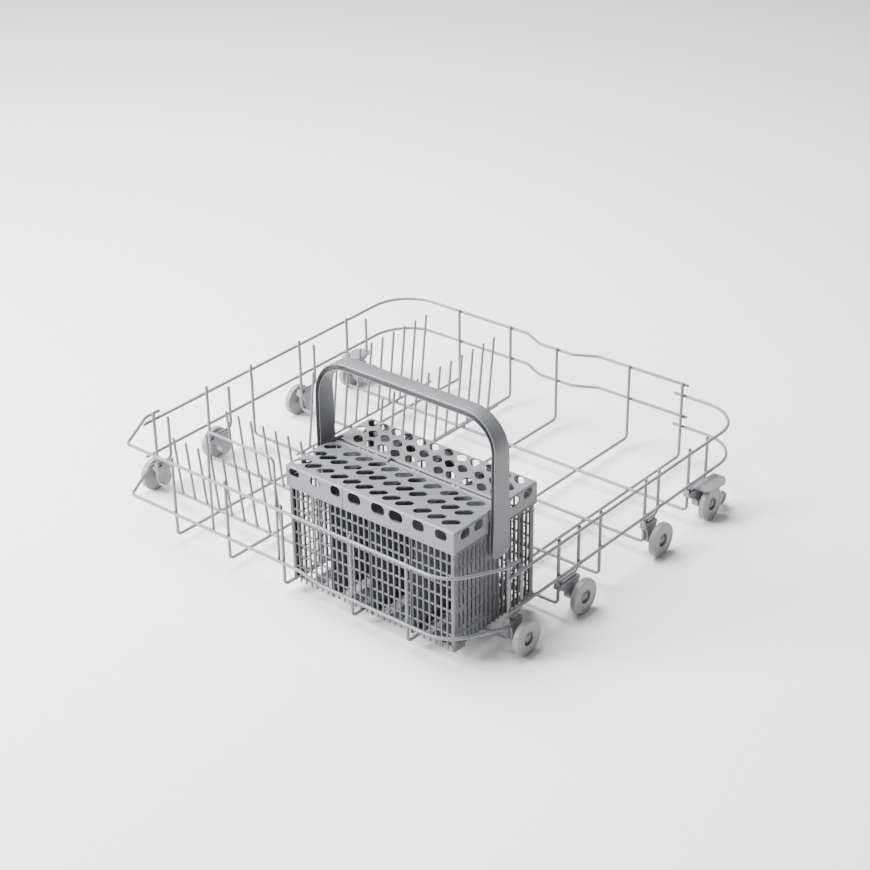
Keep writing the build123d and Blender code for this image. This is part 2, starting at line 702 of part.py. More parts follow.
def handle():
    """The arched carrying handle: a flat band with a pad and a stud at each foot."""
    half = BASKET_LENGTH / 2 + SEAT_GAP + HANDLE_THICK / 2
    top = HANDLE_TOP - HANDLE_THICK / 2
    points = (
        (BASKET_MID_X - half, BASKET_MID_Y, HANDLE_FOOT),
        (BASKET_MID_X - half, BASKET_MID_Y, top),
        (BASKET_MID_X + half, BASKET_MID_Y, top),
        (BASKET_MID_X + half, BASKET_MID_Y, HANDLE_FOOT),
    )
    path = bent_path(points, [HANDLE_CORNER, HANDLE_CORNER])
    plane = Plane(origin=path @ 0, x_dir=(0, 1, 0), z_dir=path % 0)
    section = plane * Rectangle(HANDLE_WIDTH, HANDLE_THICK)
    band = sweep(section, path=path, transition=Transition.RIGHT)
    for side, wall_x in ((-1, BODY_X0), (1, BODY_X1)):
        inner_x = wall_x + side * SEAT_GAP
        outer_x = BASKET_MID_X + side * (half + HANDLE_THICK / 2)
        near = (inner_x, BASKET_MID_Y - HANDLE_PAD_WIDTH / 2, HANDLE_FOOT)
        pad_top = HANDLE_FOOT + HANDLE_PAD_HEIGHT
        band += box_between(near, (outer_x, BASKET_MID_Y + HANDLE_PAD_WIDTH / 2, pad_top))
        band += handle_stud(inner_x, wall_x - side * WALL, 0)
    return band


def main():
    os.makedirs("parts", exist_ok=True)
    save("front_upper_rim_wire", [front_rim(FRONT_UPPER, 0)])
    save("front_lower_rim_wire", [front_rim(FRONT_LOWER, FRONT_DIP)])
    save("right_upper_rim_wire", [right_rim(SIDE_UPPER)])
    save("right_lower_rim_wire", [right_rim(SIDE_LOWER)])
    save("back_left_upper_rim_wire", [back_rim(BACK_UPPER)])
    save("back_left_lower_rim_wire", [back_rim(BACK_LOWER)])
    save("cross_wires", [cross_wire(number) for number in range(len(CROSS_AT))])
    save("lengthwise_wires", [lengthwise_wire(x) for x in LENGTHWISE_AT])
    stirrups = [stirrup_wire(number) for number in range(len(STIRRUP_AT))]
    save("right_stirrup_wires", stirrups)
    save("left_stirrup_wires", mirrored(stirrups))
    save("front_side_plate_tines", side_plate_tines(0))
    save("second_side_plate_tines", side_plate_tines(1))
    left_row, right_row = PLATE_TINE_ROWS
    save("left_dinner_plate_rod", [dinner_plate_rod(left_row)])
    save("right_dinner_plate_rod", [dinner_plate_rod(right_row)])
    save("left_dinner_plate_tines", dinner_plate_tines(left_row))
    save("right_dinner_plate_tines", dinner_plate_tines(right_row))
    save("divider_loop", [divider_loop()])
    carriers = [wheel_carrier(number) for number in range(len(WHEEL_AT))]
    save("right_wheel_carriers", carriers)
    save("left_wheel_carriers", mirrored(carriers))
    for number in range(len(WHEEL_AT)):
        disc = wheel(number)
        save("right_wheel_" + str(number + 1), [disc])
        save("left_wheel_" + str(number + 1), mirrored([disc]))
    save("basket_front_wall", [long_wall(BODY_Y0)])
    save("basket_rear_wall", [long_wall(BODY_Y1 - WALL)])
    save("basket_left_wall", [end_wall(BODY_X0)])
    save("basket_right_wall", [end_wall(BODY_X1 - WALL)])
    posts = [corner_post(right, back) for right in (False, True) for back in (False, True)]
    save("basket_corner_posts", posts)
    save("basket_floor", [basket_floor()])
    save("basket_long_divider", [long_divider()])
    save("basket_cross_dividers", cross_dividers())
    save("lid_hinge_lugs", hinge_lugs())
    flaps = (
        ("front_left_lid", BASKET_LEFT, LID_SEAM - FLAP_GAP / 2, True),
        ("front_right_lid", LID_SEAM + FLAP_GAP / 2, BASKET_RIGHT, True),
        ("rear_lid", BASKET_LEFT, BASKET_RIGHT, False),
    )
    for name, x0, x1, front in flaps:
        save(name + "_flap", [flap(x0, x1, front)])
        save(name + "_aprons", flap_aprons(x0, x1, front))
    save("basket_handle", [handle()])


main()
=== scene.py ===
from math import cos, pi, radians, sin, tan

import bmesh
import bpy
from mathutils import Matrix, Vector


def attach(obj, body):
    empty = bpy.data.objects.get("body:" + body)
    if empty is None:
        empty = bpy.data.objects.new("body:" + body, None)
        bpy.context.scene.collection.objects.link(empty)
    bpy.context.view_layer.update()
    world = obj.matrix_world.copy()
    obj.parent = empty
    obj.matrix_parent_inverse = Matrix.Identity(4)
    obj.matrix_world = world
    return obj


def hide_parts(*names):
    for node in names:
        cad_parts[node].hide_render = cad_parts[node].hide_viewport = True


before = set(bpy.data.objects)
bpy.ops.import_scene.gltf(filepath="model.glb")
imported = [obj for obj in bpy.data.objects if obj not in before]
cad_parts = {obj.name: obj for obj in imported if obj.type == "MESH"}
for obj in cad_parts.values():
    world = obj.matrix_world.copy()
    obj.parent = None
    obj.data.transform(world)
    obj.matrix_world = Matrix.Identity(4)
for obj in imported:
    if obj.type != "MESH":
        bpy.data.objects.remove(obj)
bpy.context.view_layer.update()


# RIMS: three wires at each of two levels run round the rack and are spliced on its wall wires.
# Low-carbon steel wire, cut, bent on pins and spot-welded at each crossing. The whole basket is
# then dipped hot in polyamide powder, which rounds the cut ends and gathers at the welds.

GAUGE = 3.6  # coated wire at its thickest, millimetres
DRAWN = 3.5  # as drawn, since the coat is thinner between the welds
HALF_WIDTH, HALF_DEPTH = 250.0, 244.0
FRONT_LOW, FRONT_HIGH, DIP = 39.0, 101.0, 6.0
SIDE_LOW, SIDE_HIGH = 48.0, 87.0
BACK_LOW, BACK_HIGH = 60.8, 101.0
FALL = tan(radians(1.06))  # the back and left rims fall towards the front
LAP = 13.0  # how far a spliced end runs past its wall wire
DIP_X, STEP_X, STEP = (28.0, 58.0), (24.0, 52.0), 14.0  # front dip, step in at the back
CUT_IN, CUT_BACK = 30.5, 55.0  # how far the front corners are drawn in
WIDE, STEP_BEND = 50.0, 16.0  # bends of the rear corners, and where the back steps in
CROSS_Y = [y - HALF_DEPTH for y in (63.3, 144.4, 215.6, 296.9, 380.2)]
LENGTH_X = [-154.0, -75.0, 4.1, 97.0, 169.0]


def linear(code):
    """An sRGB hex colour as the linear colour that the nodes take."""
    parts = [int(code[place:place + 2], 16) / 255 for place in (1, 3, 5)]
    return (*[p / 12.92 if p <= 0.04045 else ((p + 0.055) / 1.055) ** 2.4 for p in parts], 1.0)


def feed(tree, node, inputs):
    """Links each input of a node that is given a socket, and sets any other."""
    for name, value in inputs.items():
        if isinstance(value, bpy.types.NodeSocket):
            tree.links.new(value, node.inputs[name])
        else:
            node.inputs[name].default_value = value


def add(tree, kind, inputs=None, **settings):
    """Adds a node with its settings and feeds its inputs."""
    made = tree.nodes.new(kind)
    for name, value in settings.items():
        setattr(made, name, value)
    feed(tree, made, inputs or {})
    return made


class Finish:
    """A material in the making. Its patterns lie on the object and are sized in millimetres."""

    def __init__(self, name):
        self.made = bpy.data.materials.new(name)
        self.made.use_nodes = True
        self.tree = self.made.node_tree
        self.place = add(self.tree, "ShaderNodeTexCoord").outputs["Object"]

    def set(self, inputs):
        """Feeds the shader."""
        feed(self.tree, self.tree.nodes["Principled BSDF"], inputs)

    def along(self, axis):
        """How far a point lies along X, Y or Z."""
        return add(self.tree, "ShaderNodeSeparateXYZ", {"Vector": self.place}).outputs[axis]

    def noise(self, size, detail, roughness=0.5):
        """Clouds of the given size."""
        return add(self.tree, "ShaderNodeTexNoise", {
            "Vector": self.place, "Scale": 1000 / size, "Detail": detail,
            "Roughness": roughness}).outputs["Fac"]

    def cells(self, size):
        """Distance to the nearest of many points that are spaced by the size."""
        return add(self.tree, "ShaderNodeTexVoronoi", {
            "Vector": self.place, "Scale": 1000 / size}).outputs["Distance"]

    def spread(self, value, low, high, start=0.0, end=1.0):
        """The stretch from start to end of a value, laid over low to high."""
        return add(self.tree, "ShaderNodeMapRange", {
            "Value": value, "From Min": start, "From Max": end, "To Min": low,
            "To Max": high}).outputs["Result"]

    def mix(self, share, *colours):
        """A colour between two, each an sRGB hex code or a socket."""
        first, second = [linear(c) if isinstance(c, str) else c for c in colours]
        return add(self.tree, "ShaderNodeMix", {0: share, 6: first, 7: second},
                   data_type="RGBA").outputs[2]

    def relief(self, height, strength, depth):
        """Bump, with its depth in millimetres."""
        bump = add(self.tree, "ShaderNodeBump", {"Height": height, "Strength": strength,
                                                 "Distance": depth / 1000})
        self.set({"Normal": bump.outputs["Normal"]})


def dipped_polyamide():
    """Grey polyamide powder coat, flowed out in the oven: satin, with a shallow orange peel."""
    skin = Finish("dipped_polyamide_coat")
    # Powder pigment clouds about 25 mm long, and hard-water film in patches of 6 mm.
    clouds, film = skin.noise(25, 3.0), skin.noise(6, 5.0)
    tint = skin.mix(clouds, "#66676A", "#7A7B7E")
    chalky = skin.spread(film, 0.0, 0.3, 0.56, 0.72)
    skin.set({"IOR": 1.53, "Coat Weight": 0.12, "Coat Roughness": 0.3,
              "Base Color": skin.mix(chalky, tint, "#8E8F91"),
              "Roughness": skin.spread(film, 0.3, 0.5)})
    # Orange peel: waves of 1.4 mm, 0.03 mm deep, as molten powder leaves on a thin wire.
    skin.relief(skin.noise(1.4, 1.0), 0.35, 0.03)
    return skin.made


class Tree:
    """A geometry tree in the making, with named inputs and one output that is called Piece."""

    def __init__(self, name, inputs):
        self.made = bpy.data.node_groups.new(name, "GeometryNodeTree")
        sockets = [(label, "INPUT", kind) for label, kind in inputs.items()]
        for label, way, kind in (*sockets, ("Piece", "OUTPUT", "Geometry")):
            self.made.interface.new_socket(label, in_out=way, socket_type="NodeSocket" + kind)
        self.given = add(self.made, "NodeGroupInput").outputs

    def run(self, kind, inputs, **settings):
        """The first output of a new geometry node."""
        return add(self.made, "GeometryNode" + kind, inputs, **settings).outputs[0]

    def maths(self, kind, one, other):
        """A number from two others."""
        return add(self.made, "ShaderNodeMath", {0: one, 1: other}, operation=kind).outputs[0]

    def vector(self, x, y, z):
        """A vector from three numbers."""
        return add(self.made, "ShaderNodeCombineXYZ", {"X": x, "Y": y, "Z": z}).outputs[0]

    def attribute(self, name, kind="FLOAT"):
        """What the points of the mesh say under a name."""
        return add(self.made, "GeometryNodeInputNamedAttribute", {"Name": name},
                   data_type=kind).outputs["Attribute"]

    def join(self, *parts):
        """Several geometries as one."""
        joined = add(self.made, "GeometryNodeJoinGeometry")
        for part in parts:
            self.made.links.new(part, joined.inputs[0])
        return joined.outputs[0]

    def close(self, geometry, material):
        """Ends the tree: instances made real, then the material."""
        real = self.run("RealizeInstances", {"Geometry": geometry})
        done = self.run("SetMaterial", {"Geometry": real, "Material": material})
        add(self.made, "NodeGroupOutput", {"Piece": done})
        return self.made


def coated_wire_tree():
    """Lays a round wire along each line, rounds its corners by 'bend', thins it by 'swell'."""
    tree = Tree("coated_wire", {"Lines": "Geometry", "Gauge": "Float", "Faces round": "Int",
                                "Steps in a bend": "Int", "Coat": "Material"})
    given = tree.given
    line = tree.run("MeshToCurve", {"Mesh": given["Lines"]})
    bent = tree.run("FilletCurve", {
        "Curve": line, "Count": given["Steps in a bend"], "Radius": tree.attribute("bend"),
        "Limit Radius": True}, mode="POLY")
    ring = tree.run("CurvePrimitiveCircle", {
        "Resolution": given["Faces round"], "Radius": tree.maths("MULTIPLY", given["Gauge"], 0.5)})
    skin = tree.run("CurveToMesh", {"Curve": bent, "Profile Curve": ring,
                                    "Scale": tree.attribute("swell"), "Fill Caps": True})
    return tree.close(tree.run("SetShadeSmooth", {"Geometry": skin}), given["Coat"])


def wire_line(points, bends=(), round_start=True, round_end=True, gauge=GAUGE):
    """One wire as rows of point, bend radius and swell, with extra points that round its ends."""
    points = [Vector(point) for point in points]
    bends = [0.0, *bends, *[0.0] * (len(points) - 1 - len(bends))]
    rows = [(point, bend, 1.0) for point, bend in zip(points, bends)]
    steps = (12, 35, 60)
    for is_start, wanted in ((True, round_start), (False, round_end)):
        if not wanted:
            continue
        tip, inner = (points[0], points[1]) if is_start else (points[-1], points[-2])
        way = (inner - tip).normalized() * gauge / 2
        extra = [(tip + way * (1 - cos(radians(a))), 0.0, sin(radians(a))) for a in steps]
        if is_start:
            rows = [*extra, (tip + way, 0.0, 1.0), *rows[1:]]
        else:
            rows = [*rows[:-1], (tip + way, 0.0, 1.0), *reversed(extra)]
    return rows


def mesh_with(name, corners, edges=(), faces=(), **attributes):
    """A mesh from corners in millimetres. Each attribute is its kind and a flat list."""
    mesh = bpy.data.meshes.new(name)
    mesh.from_pydata([Vector(corner) / 1000 for corner in corners], edges, faces)
    for label, (kind, values) in attributes.items():
        field = "value" if kind == "FLOAT" else "vector"
        mesh.attributes.new(label, kind, "POINT").data.foreach_set(field, values)
    return mesh


def line_mesh(name, wires):
    """Bare lines that carry the bend radius and the swell of each point."""
    corners, bends, swells, edges = [], [], [], []
    for rows in wires:
        first = len(corners)
        for point, bend, swell in rows:
            corners.append(point)
            bends.append(bend / 1000)
            swells.append(swell)
        edges += [(number, number + 1) for number in range(first, len(corners) - 1)]
    return mesh_with(name, corners, edges, bend=("FLOAT", bends), swell=("FLOAT", swells))


def placed(name, data):
    """A new object in the scene."""
    made = bpy.data.objects.new(name, data)
    bpy.context.scene.collection.objects.link(made)
    return made


def grown(name, mesh, *stages):
    """Runs node trees and plain modifiers on a mesh in turn and keeps the result as one mesh."""
    seed = placed(name + "_seed", mesh)
    for stage, values in stages:
        if isinstance(stage, str):
            modifier = seed.modifiers.new(stage.lower(), stage)
            for setting, value in values.items():
                setattr(modifier, setting, value)
            continue
        modifier = seed.modifiers.new("build", "NODES")
        modifier.node_group = stage
        for socket in stage.interface.items_tree:
            if socket.in_out == "INPUT" and socket.name in values:
                modifier[socket.identifier] = values[socket.name]
    graph = bpy.context.evaluated_depsgraph_get()
    plain = bpy.data.meshes.new_from_object(seed.evaluated_get(graph))
    seed.modifiers.clear()
    bpy.data.objects.remove(seed)
    bpy.data.meshes.remove(mesh)
    plain.name = name
    return placed(name, plain)


def hand_over(piece, body, slot, *nodes):
    """Sets a piece on its body, in the place of the frame's nodes. The slot is not used."""
    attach(piece, body)
    if nodes:
        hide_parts(*nodes)


coat = dipped_polyamide()
wire_tree = coated_wire_tree()


def wire_piece(name, wires, nodes, gauge=DRAWN, steps=8):
    """Grows wires from their lines, in the place of the frame's nodes, on the rack."""
    values = {"Gauge": gauge / 1000, "Faces round": 12, "Steps in a bend": steps, "Coat": coat}
    hand_over(grown(name, line_mesh(name, wires), (wire_tree, values)), "rack", "coated_wire",
              *nodes)


def front_rim(height, dip):
    """Front wire: cut corner on the left, round corner on the right, an optional dip."""
    low = height - dip
    end, side = CROSS_Y[0] + LAP, -HALF_DEPTH + CUT_BACK
    middle = [(x, -HALF_DEPTH, z) for x, z in zip(DIP_X, (height, low))] if dip else []
    points = [(-HALF_WIDTH, end, height), (-HALF_WIDTH, side, height),
              (CUT_IN - HALF_WIDTH, -HALF_DEPTH, height), *middle,
              (HALF_WIDTH - CUT_IN, -HALF_DEPTH, low), (HALF_WIDTH, side, low),
              (HALF_WIDTH, end, low)]
    return wire_line(points, [18.0, 9.0, *[50.0] * len(middle), 40.0, 18.0])


def right_rim(height):
    """Right wire: along the side and round the wide rear corner."""
    return wire_line([(HALF_WIDTH, CROSS_Y[0] - LAP / 2, height),
                      (HALF_WIDTH, HALF_DEPTH, height),
                      (LENGTH_X[-1] - LAP, HALF_DEPTH, height)], [WIDE])


def back_rim(height):
    """Back and left wire: stepped in behind the middle, then falling forward on the left."""
    back = HALF_DEPTH + 0.05
    near, far = STEP_X
    plan = [(LENGTH_X[-1] + LAP / 2, back), (far, back), (near, back - STEP),
            (-near, back - STEP), (-far, back), (-HALF_WIDTH, back),
            (-HALF_WIDTH, CROSS_Y[0] - LAP)]
    points = [(x, y, height - (back - y) * FALL) for x, y in plan]
    return wire_line(points, [*[STEP_BEND] * 4, WIDE])


wire_piece("front_rims", [front_rim(FRONT_HIGH, 0), front_rim(FRONT_LOW, DIP)],
           ["front_upper_rim_wire", "front_lower_rim_wire"], steps=10)
wire_piece("right_rims", [right_rim(SIDE_HIGH), right_rim(SIDE_LOW)],
           ["right_upper_rim_wire", "right_lower_rim_wire"], steps=14)
wire_piece("back_and_left_rims", [back_rim(BACK_HIGH), back_rim(BACK_LOW)],
           ["back_left_upper_rim_wire", "back_left_lower_rim_wire"], steps=14)


# WALL AND FLOOR WIRES: each is one wire bent up at both ends, so that it makes two walls and a
# stretch of floor. The cross wires lie on the lengthwise ones and are welded to them. The short
# stirrup wires turn forward over each wheel and give its clip a second hold.

FLOOR = 12.8  # height at which the two layers of floor wires touch
WALL_X, WALL_Y = HALF_WIDTH - GAUGE, HALF_DEPTH - GAUGE
STUB = 4.5  # how far a wall wire stands over its upper rim
FOLD, HOOK = 5.0, 7.0  # bends between wall and floor, and of the stirrups
STIRRUP_Y = [y - HALF_DEPTH for y in (83.7, 178.2, 321.3, 415.4)]
STIRRUP_HEIGHT = 39.0


def cross_wire(number, y):
    """Left wall, floor and right wall in one wire; only the first is high on the right."""
    right_top = (FRONT_HIGH if number == 0 else SIDE_HIGH) + STUB
    height = FLOOR + GAUGE / 2
    return wire_line([(-WALL_X, y, FRONT_HIGH + STUB), (-WALL_X, y, height),
                      (WALL_X, y, height), (WALL_X, y, right_top)], [FOLD, FOLD])


def lengthwise_wire(x):
    """Front wall, floor and back wall in one wire, shorter where the back rims step in."""
    back = WALL_Y - (STEP if abs(x) < STEP_X[0] else 0.0)
    height = FLOOR - GAUGE / 2
    return wire_line([(x, -WALL_Y, FRONT_HIGH + STUB), (x, -WALL_Y, height),
                      (x, back, height), (x, back, BACK_HIGH + STUB)], [FOLD, FOLD])


def stirrup_wire(side, back):
    """A wall wire that turns forward over a wheel and meets the cross wire before it."""
    front = max(y for y in CROSS_Y if y < back) + GAUGE / 2
    x = side * WALL_X
    return wire_line([(x, back, SIDE_HIGH + STUB), (x, back, STIRRUP_HEIGHT),
                      (x, front, STIRRUP_HEIGHT)], [HOOK], round_end=False)


wire_piece("cross_wires_coated", [cross_wire(*pair) for pair in enumerate(CROSS_Y)],
           ["cross_wires"])
wire_piece("lengthwise_wires_coated", [lengthwise_wire(x) for x in LENGTH_X],
           ["lengthwise_wires"])
wire_piece("stirrup_wires_coated",
           [stirrup_wire(side, y) for side in (-1, 1) for y in STIRRUP_Y],
           ["right_stirrup_wires", "left_stirrup_wires"])


# TINES AND DIVIDER LOOP: thinner wire, butt-welded by the foot. Two rows of short tines stand on
# the first cross wires and two rows of tall ones on rods over the floor. The tall loop is welded
# to the inside of the front rims, beside the basket.

TINE = 3.0
TINE_FOOT = FLOOR + GAUGE  # top of the cross wires
SIDE_TINE_X = [-55.6 - 19.1 * number for number in range(9)]
PLATE_TINE_Y = [226.0 + 20.0 * number - HALF_DEPTH for number in range(11)]
PLATE_ROW_X, ROD_BACK = [-168.0, -64.0], 202.0
SIDE_TINE_TOP, PLATE_TINE_TOP, SIDE_LEAN, PLATE_LEAN = 83.0, 111.0, -8.5, 12.0
LOOP_X, LOOP_TOP = (-97.0, -2.0), 156.0


def tine(x, y, foot, top, lean_x, lean_y):
    """A straight tine, sunk a little into the wire that it is welded to, with a round tip."""
    return wire_line([(x, y, foot - 0.8), (x + lean_x, y + lean_y, top)], round_start=False,
                     gauge=TINE)


side_tines = [tine(x, y, TINE_FOOT, SIDE_TINE_TOP, SIDE_LEAN, 0)
              for y in CROSS_Y[:2] for x in SIDE_TINE_X]
wire_piece("side_plate_tines", side_tines, ["front_side_plate_tines", "second_side_plate_tines"],
           gauge=TINE)
rods = [wire_line([(x, y, TINE_FOOT + TINE / 2) for y in (CROSS_Y[2] - LAP, ROD_BACK)], gauge=TINE)
        for x in PLATE_ROW_X]
plate_tines = [tine(x, y, TINE_FOOT + TINE, PLATE_TINE_TOP, 0, PLATE_LEAN)
               for x in PLATE_ROW_X for y in PLATE_TINE_Y]
wire_piece("dinner_plate_tines", rods + plate_tines,
           ["left_dinner_plate_rod", "right_dinner_plate_rod", "left_dinner_plate_tines",
            "right_dinner_plate_tines"], gauge=TINE)
loop_y, loop_foot = -HALF_DEPTH + (GAUGE + TINE) / 2, FRONT_LOW - GAUGE / 2
loop = wire_line([(x, loop_y, z) for x, z in (
    (LOOP_X[0], loop_foot), (LOOP_X[0], LOOP_TOP), (LOOP_X[1], LOOP_TOP), (LOOP_X[1], loop_foot))],
    [HOOK, HOOK], gauge=TINE)
wire_piece("divider_loop_coated", [loop], ["divider_loop"], gauge=TINE)


# WELDS: wherever two wires cross, the coat gathers in the corner between them and leaves a
# small smooth swelling. Each one is a round bead of polyamide over a spot weld.

BEAD = 2.1  # radius


def bead_tree():
    """Sets one coarse round bead on every point."""
    tree = Tree("coat_beads", {"Welds": "Geometry", "Bead radius": "Float", "Coat": "Material"})
    given = tree.given
    ball = tree.run("MeshIcoSphere", {"Radius": given["Bead radius"], "Subdivisions": 2})
    ball = tree.run("SetShadeSmooth", {"Geometry": ball})
    beads = tree.run("InstanceOnPoints", {"Points": given["Welds"], "Instance": ball})
    return tree.close(beads, given["Coat"])


inside_x, inside_y = HALF_WIDTH - GAUGE / 2, HALF_DEPTH - GAUGE / 2
welds = [(x, y, FLOOR) for x in LENGTH_X for y in CROSS_Y]
for x in LENGTH_X:
    low = FRONT_LOW - (DIP if x > DIP_X[0] else 0.0)
    step = STEP if abs(x) < STEP_X[0] else 0.0
    welds += [(x, -inside_y, FRONT_HIGH), (x, -inside_y, low)]
    welds += [(x, inside_y - step, height - step * FALL) for height in (BACK_HIGH, BACK_LOW)]
for y in CROSS_Y:
    fall = (HALF_DEPTH - y) * FALL
    welds += [(-inside_x, y, BACK_HIGH - fall), (-inside_x, y, BACK_LOW - fall)]
for y in CROSS_Y + STIRRUP_Y:
    welds += [(inside_x, y, SIDE_HIGH), (inside_x, y, SIDE_LOW)]
welds += [(inside_x, CROSS_Y[0], FRONT_HIGH), (inside_x, CROSS_Y[0], FRONT_LOW - DIP),
          (-inside_x, CROSS_Y[0], FRONT_HIGH), (-inside_x, CROSS_Y[0], FRONT_LOW)]
welds += [(x, y, TINE_FOOT) for y in CROSS_Y[:2] for x in SIDE_TINE_X]
welds += [(x, y, TINE_FOOT + TINE) for y in PLATE_TINE_Y for x in PLATE_ROW_X]
welds += [(x, y, TINE_FOOT) for y in CROSS_Y[2:] for x in PLATE_ROW_X]
welds += [(x, -inside_y, height) for x in LOOP_X for height in (FRONT_HIGH, FRONT_LOW)]
beads = grown("weld_beads", mesh_with("weld_beads", welds),
              (bead_tree(), {"Bead radius": BEAD / 1000, "Coat": coat}))
hand_over(beads, "rack", "coated_wire")


# WHEELS: eight plain discs of acetal, injection-moulded with a sunk hub, that run on the door
# and the side ledges. All but the outer 2 mm of each wheel is coloured a touch darker, the tread
# and the floor of the hub recess with it, and the face is moulded with a shallow groove between
# rim and hub.

WHEEL_Y = [y - HALF_DEPTH for y in (71.4, 166.3, 306.1, 402.7)]
HUB_Z = 19.0
WHEEL_INNER, WHEEL_OUTER = 258.8, 265.8
WHEEL_RADIUS, EDGE_ROUND, BORE = 19.0, 1.1, 3.06
HUB_RADIUS, HUB_DEPTH = 7.2, 4.0


def moulded_acetal():
    """Light grey acetal: a smooth, slightly waxy moulding with a scuffed tread."""
    skin = Finish("moulded_acetal")
    # Scuffs from the rails in streaks 1.2 mm wide, and grime in 9 mm patches.
    grime, scuffs = skin.noise(9, 6.0, roughness=0.62), skin.noise(1.2, 2.0)
    dirty = skin.mix(skin.spread(grime, 0.0, 0.5, 0.42, 0.7), "#8E8F8F", "#767777")
    # The tread is a touch darker than the face. The darker band ends 2 mm inside the face, so the
    # inner face and the floor of the hub recess are darker too.
    out = add(skin.tree, "ShaderNodeMath", {0: skin.along("X")}, operation="ABSOLUTE")
    tread = skin.spread(out.outputs[0], 0.35, 0.0, (WHEEL_OUTER - 2.2) / 1000,
                        (WHEEL_OUTER - 0.2) / 1000)
    skin.set({"IOR": 1.48, "Subsurface Weight": 0.04, "Subsurface Scale": 0.002,
              "Base Color": skin.mix(tread, dirty, "#666767"),
              "Roughness": skin.spread(scuffs, 0.3, 0.55)})
    skin.relief(scuffs, 0.25, 0.03)
    return skin.made


def turned(profile, steps, centre, side=1):
    """A closed ring of radius and distance along X, turned about an axle along X."""
    corners, faces = [], []
    count = len(profile)
    for step in range(steps):
        angle = 2 * pi * step / steps
        for radius, x in profile:
            corners.append((side * x, centre[0] + radius * cos(angle),
                            centre[1] + radius * sin(angle)))
        for number in range(count):
            after = (number + 1) % count
            ahead = (step + 1) % steps
            faces.append((step * count + number, ahead * count + number,
                          ahead * count + after, step * count + after))
    return corners, faces


def set_smooth(mesh, degrees=32):
    """Smooth faces with the edges sharper than the angle left crisp."""
    mesh.shade_smooth()
    mesh.set_sharp_from_angle(angle=radians(degrees))


def moulded(name, parts, plastic, *stages, crease=32):
    """A piece from closed parts, grown by the stages. Edges over the crease angle stay crisp."""
    corners, faces = [], []
    for part_corners, part_faces in parts:
        first = len(corners)
        corners += part_corners
        faces += [[first + place for place in face] for face in part_faces]
    mesh = mesh_with(name, corners, (), faces)
    work = bmesh.new()
    work.from_mesh(mesh)
    bmesh.ops.recalc_face_normals(work, faces=work.faces)
    work.to_mesh(mesh)
    work.free()
    piece = grown(name, mesh, *stages)
    set_smooth(piece.data, crease)
    piece.data.materials.append(plastic)
    return piece


def arc(centre, radius, angles):
    """Points round a centre, by their angles in degrees."""
    return [(centre[0] + radius * cos(radians(a)), centre[1] + radius * sin(radians(a)))
            for a in angles]


def wheel_profile():
    """Bore, inner face, rounded tread, outer face and sunk hub, as radius and place along X."""
    inner, outer, turn = WHEEL_INNER, WHEEL_OUTER, EDGE_ROUND
    tread = arc((WHEEL_RADIUS - turn, inner + turn), turn, (-90, -68, -45, -22, 0))
    rim = arc((WHEEL_RADIUS - turn, outer - turn), turn, (0, 22, 45, 68, 90))
    # A shallow groove between rim and hub, then the recess of the hub with soft edges.
    face = [(15.4, outer), (14.9, outer - 0.35), (8.9, outer - 0.35), (8.5, outer - 0.1),
            (7.9, outer), (7.4, outer - 0.15)]
    hub = [(HUB_RADIUS, outer - 0.5), (HUB_RADIUS, outer - HUB_DEPTH + 0.4),
           (HUB_RADIUS - 0.4, outer - HUB_DEPTH), (3.3, outer - HUB_DEPTH),
           (BORE, outer - HUB_DEPTH - 0.25)]
    return [(BORE, inner + 0.3), (3.4, inner), *tread, *rim, *face, *hub]


acetal = moulded_acetal()
for side_name, side in (("right", 1), ("left", -1)):
    for number, y in enumerate(WHEEL_Y):
        name = side_name + "_wheel_" + str(number + 1)
        wheel = moulded(name + "_moulded", [turned(wheel_profile(), 72, (y, HUB_Z), side)],
                        acetal, crease=25)
        hand_over(wheel, name, "wheel_plastic", name)


# WHEEL CLIPS: polypropylene carriers snapped over a cross wire and cupped under a stirrup wire,
# drawn in to a round boss with an axle, whose slit head springs through the wheel and keeps it
# on. The rearmost clips have a guard over the wheel and a round stop behind it.

CLIP_TOP, CLIP_OUTER, CLIP_BOSS = 36.4, 251.5, 8.0
AXLE, HEAD, HALF_SLIT = 2.9, 4.0, 0.6  # radii, and half the gap in the head
STOP_BACK = 28.5  # how far the stop lies behind the axle


def moulded_clip():
    """Light grey polypropylene with a fine spark-eroded grain."""
    skin = Finish("moulded_polypropylene_clip")
    # Flow marks 14 mm long; spark grain drawn at 0.5 mm, coarser than real so that it shows.
    flow, grain = skin.noise(14, 4.0), skin.noise(0.5, 2.0)
    skin.set({"IOR": 1.49, "Base Color": skin.mix(flow, "#75767A", "#8A8B8E"),
              "Roughness": skin.spread(flow, 0.38, 0.56)})
    skin.relief(grain, 0.3, 0.04)
    return skin.made


def rounding(width, segments=2, degrees=35):
    """A bevel of the given width in millimetres on every edge sharper than the angle."""
    return "BEVEL", {"width": width / 1000, "segments": segments, "limit_method": "ANGLE",
                     "angle_limit": radians(degrees)}


def between(corners):
    """A solid between two equal rings of corners that follow each other."""
    count = len(corners) // 2
    faces = [list(range(count)), list(range(count, 2 * count))]
    faces += [(n, (n + 1) % count, count + (n + 1) % count, count + n) for n in range(count)]
    return corners, faces


def prism(outline, x0, x1):
    """A plate in the YZ plane between two places along X."""
    return between([(x, y, z) for x in (x0, x1) for y, z in outline])


def slab(outline, z0, z1):
    """A flat plate between two heights."""
    return between([(x, y, z) for z in (z0, z1) for x, y in outline])


def block(low, high):
    """A plain box, which a bevel rounds later."""
    return prism([(low[1], low[2]), (high[1], low[2]), (high[1], high[2]), (low[1], high[2])],
                 low[0], high[0])


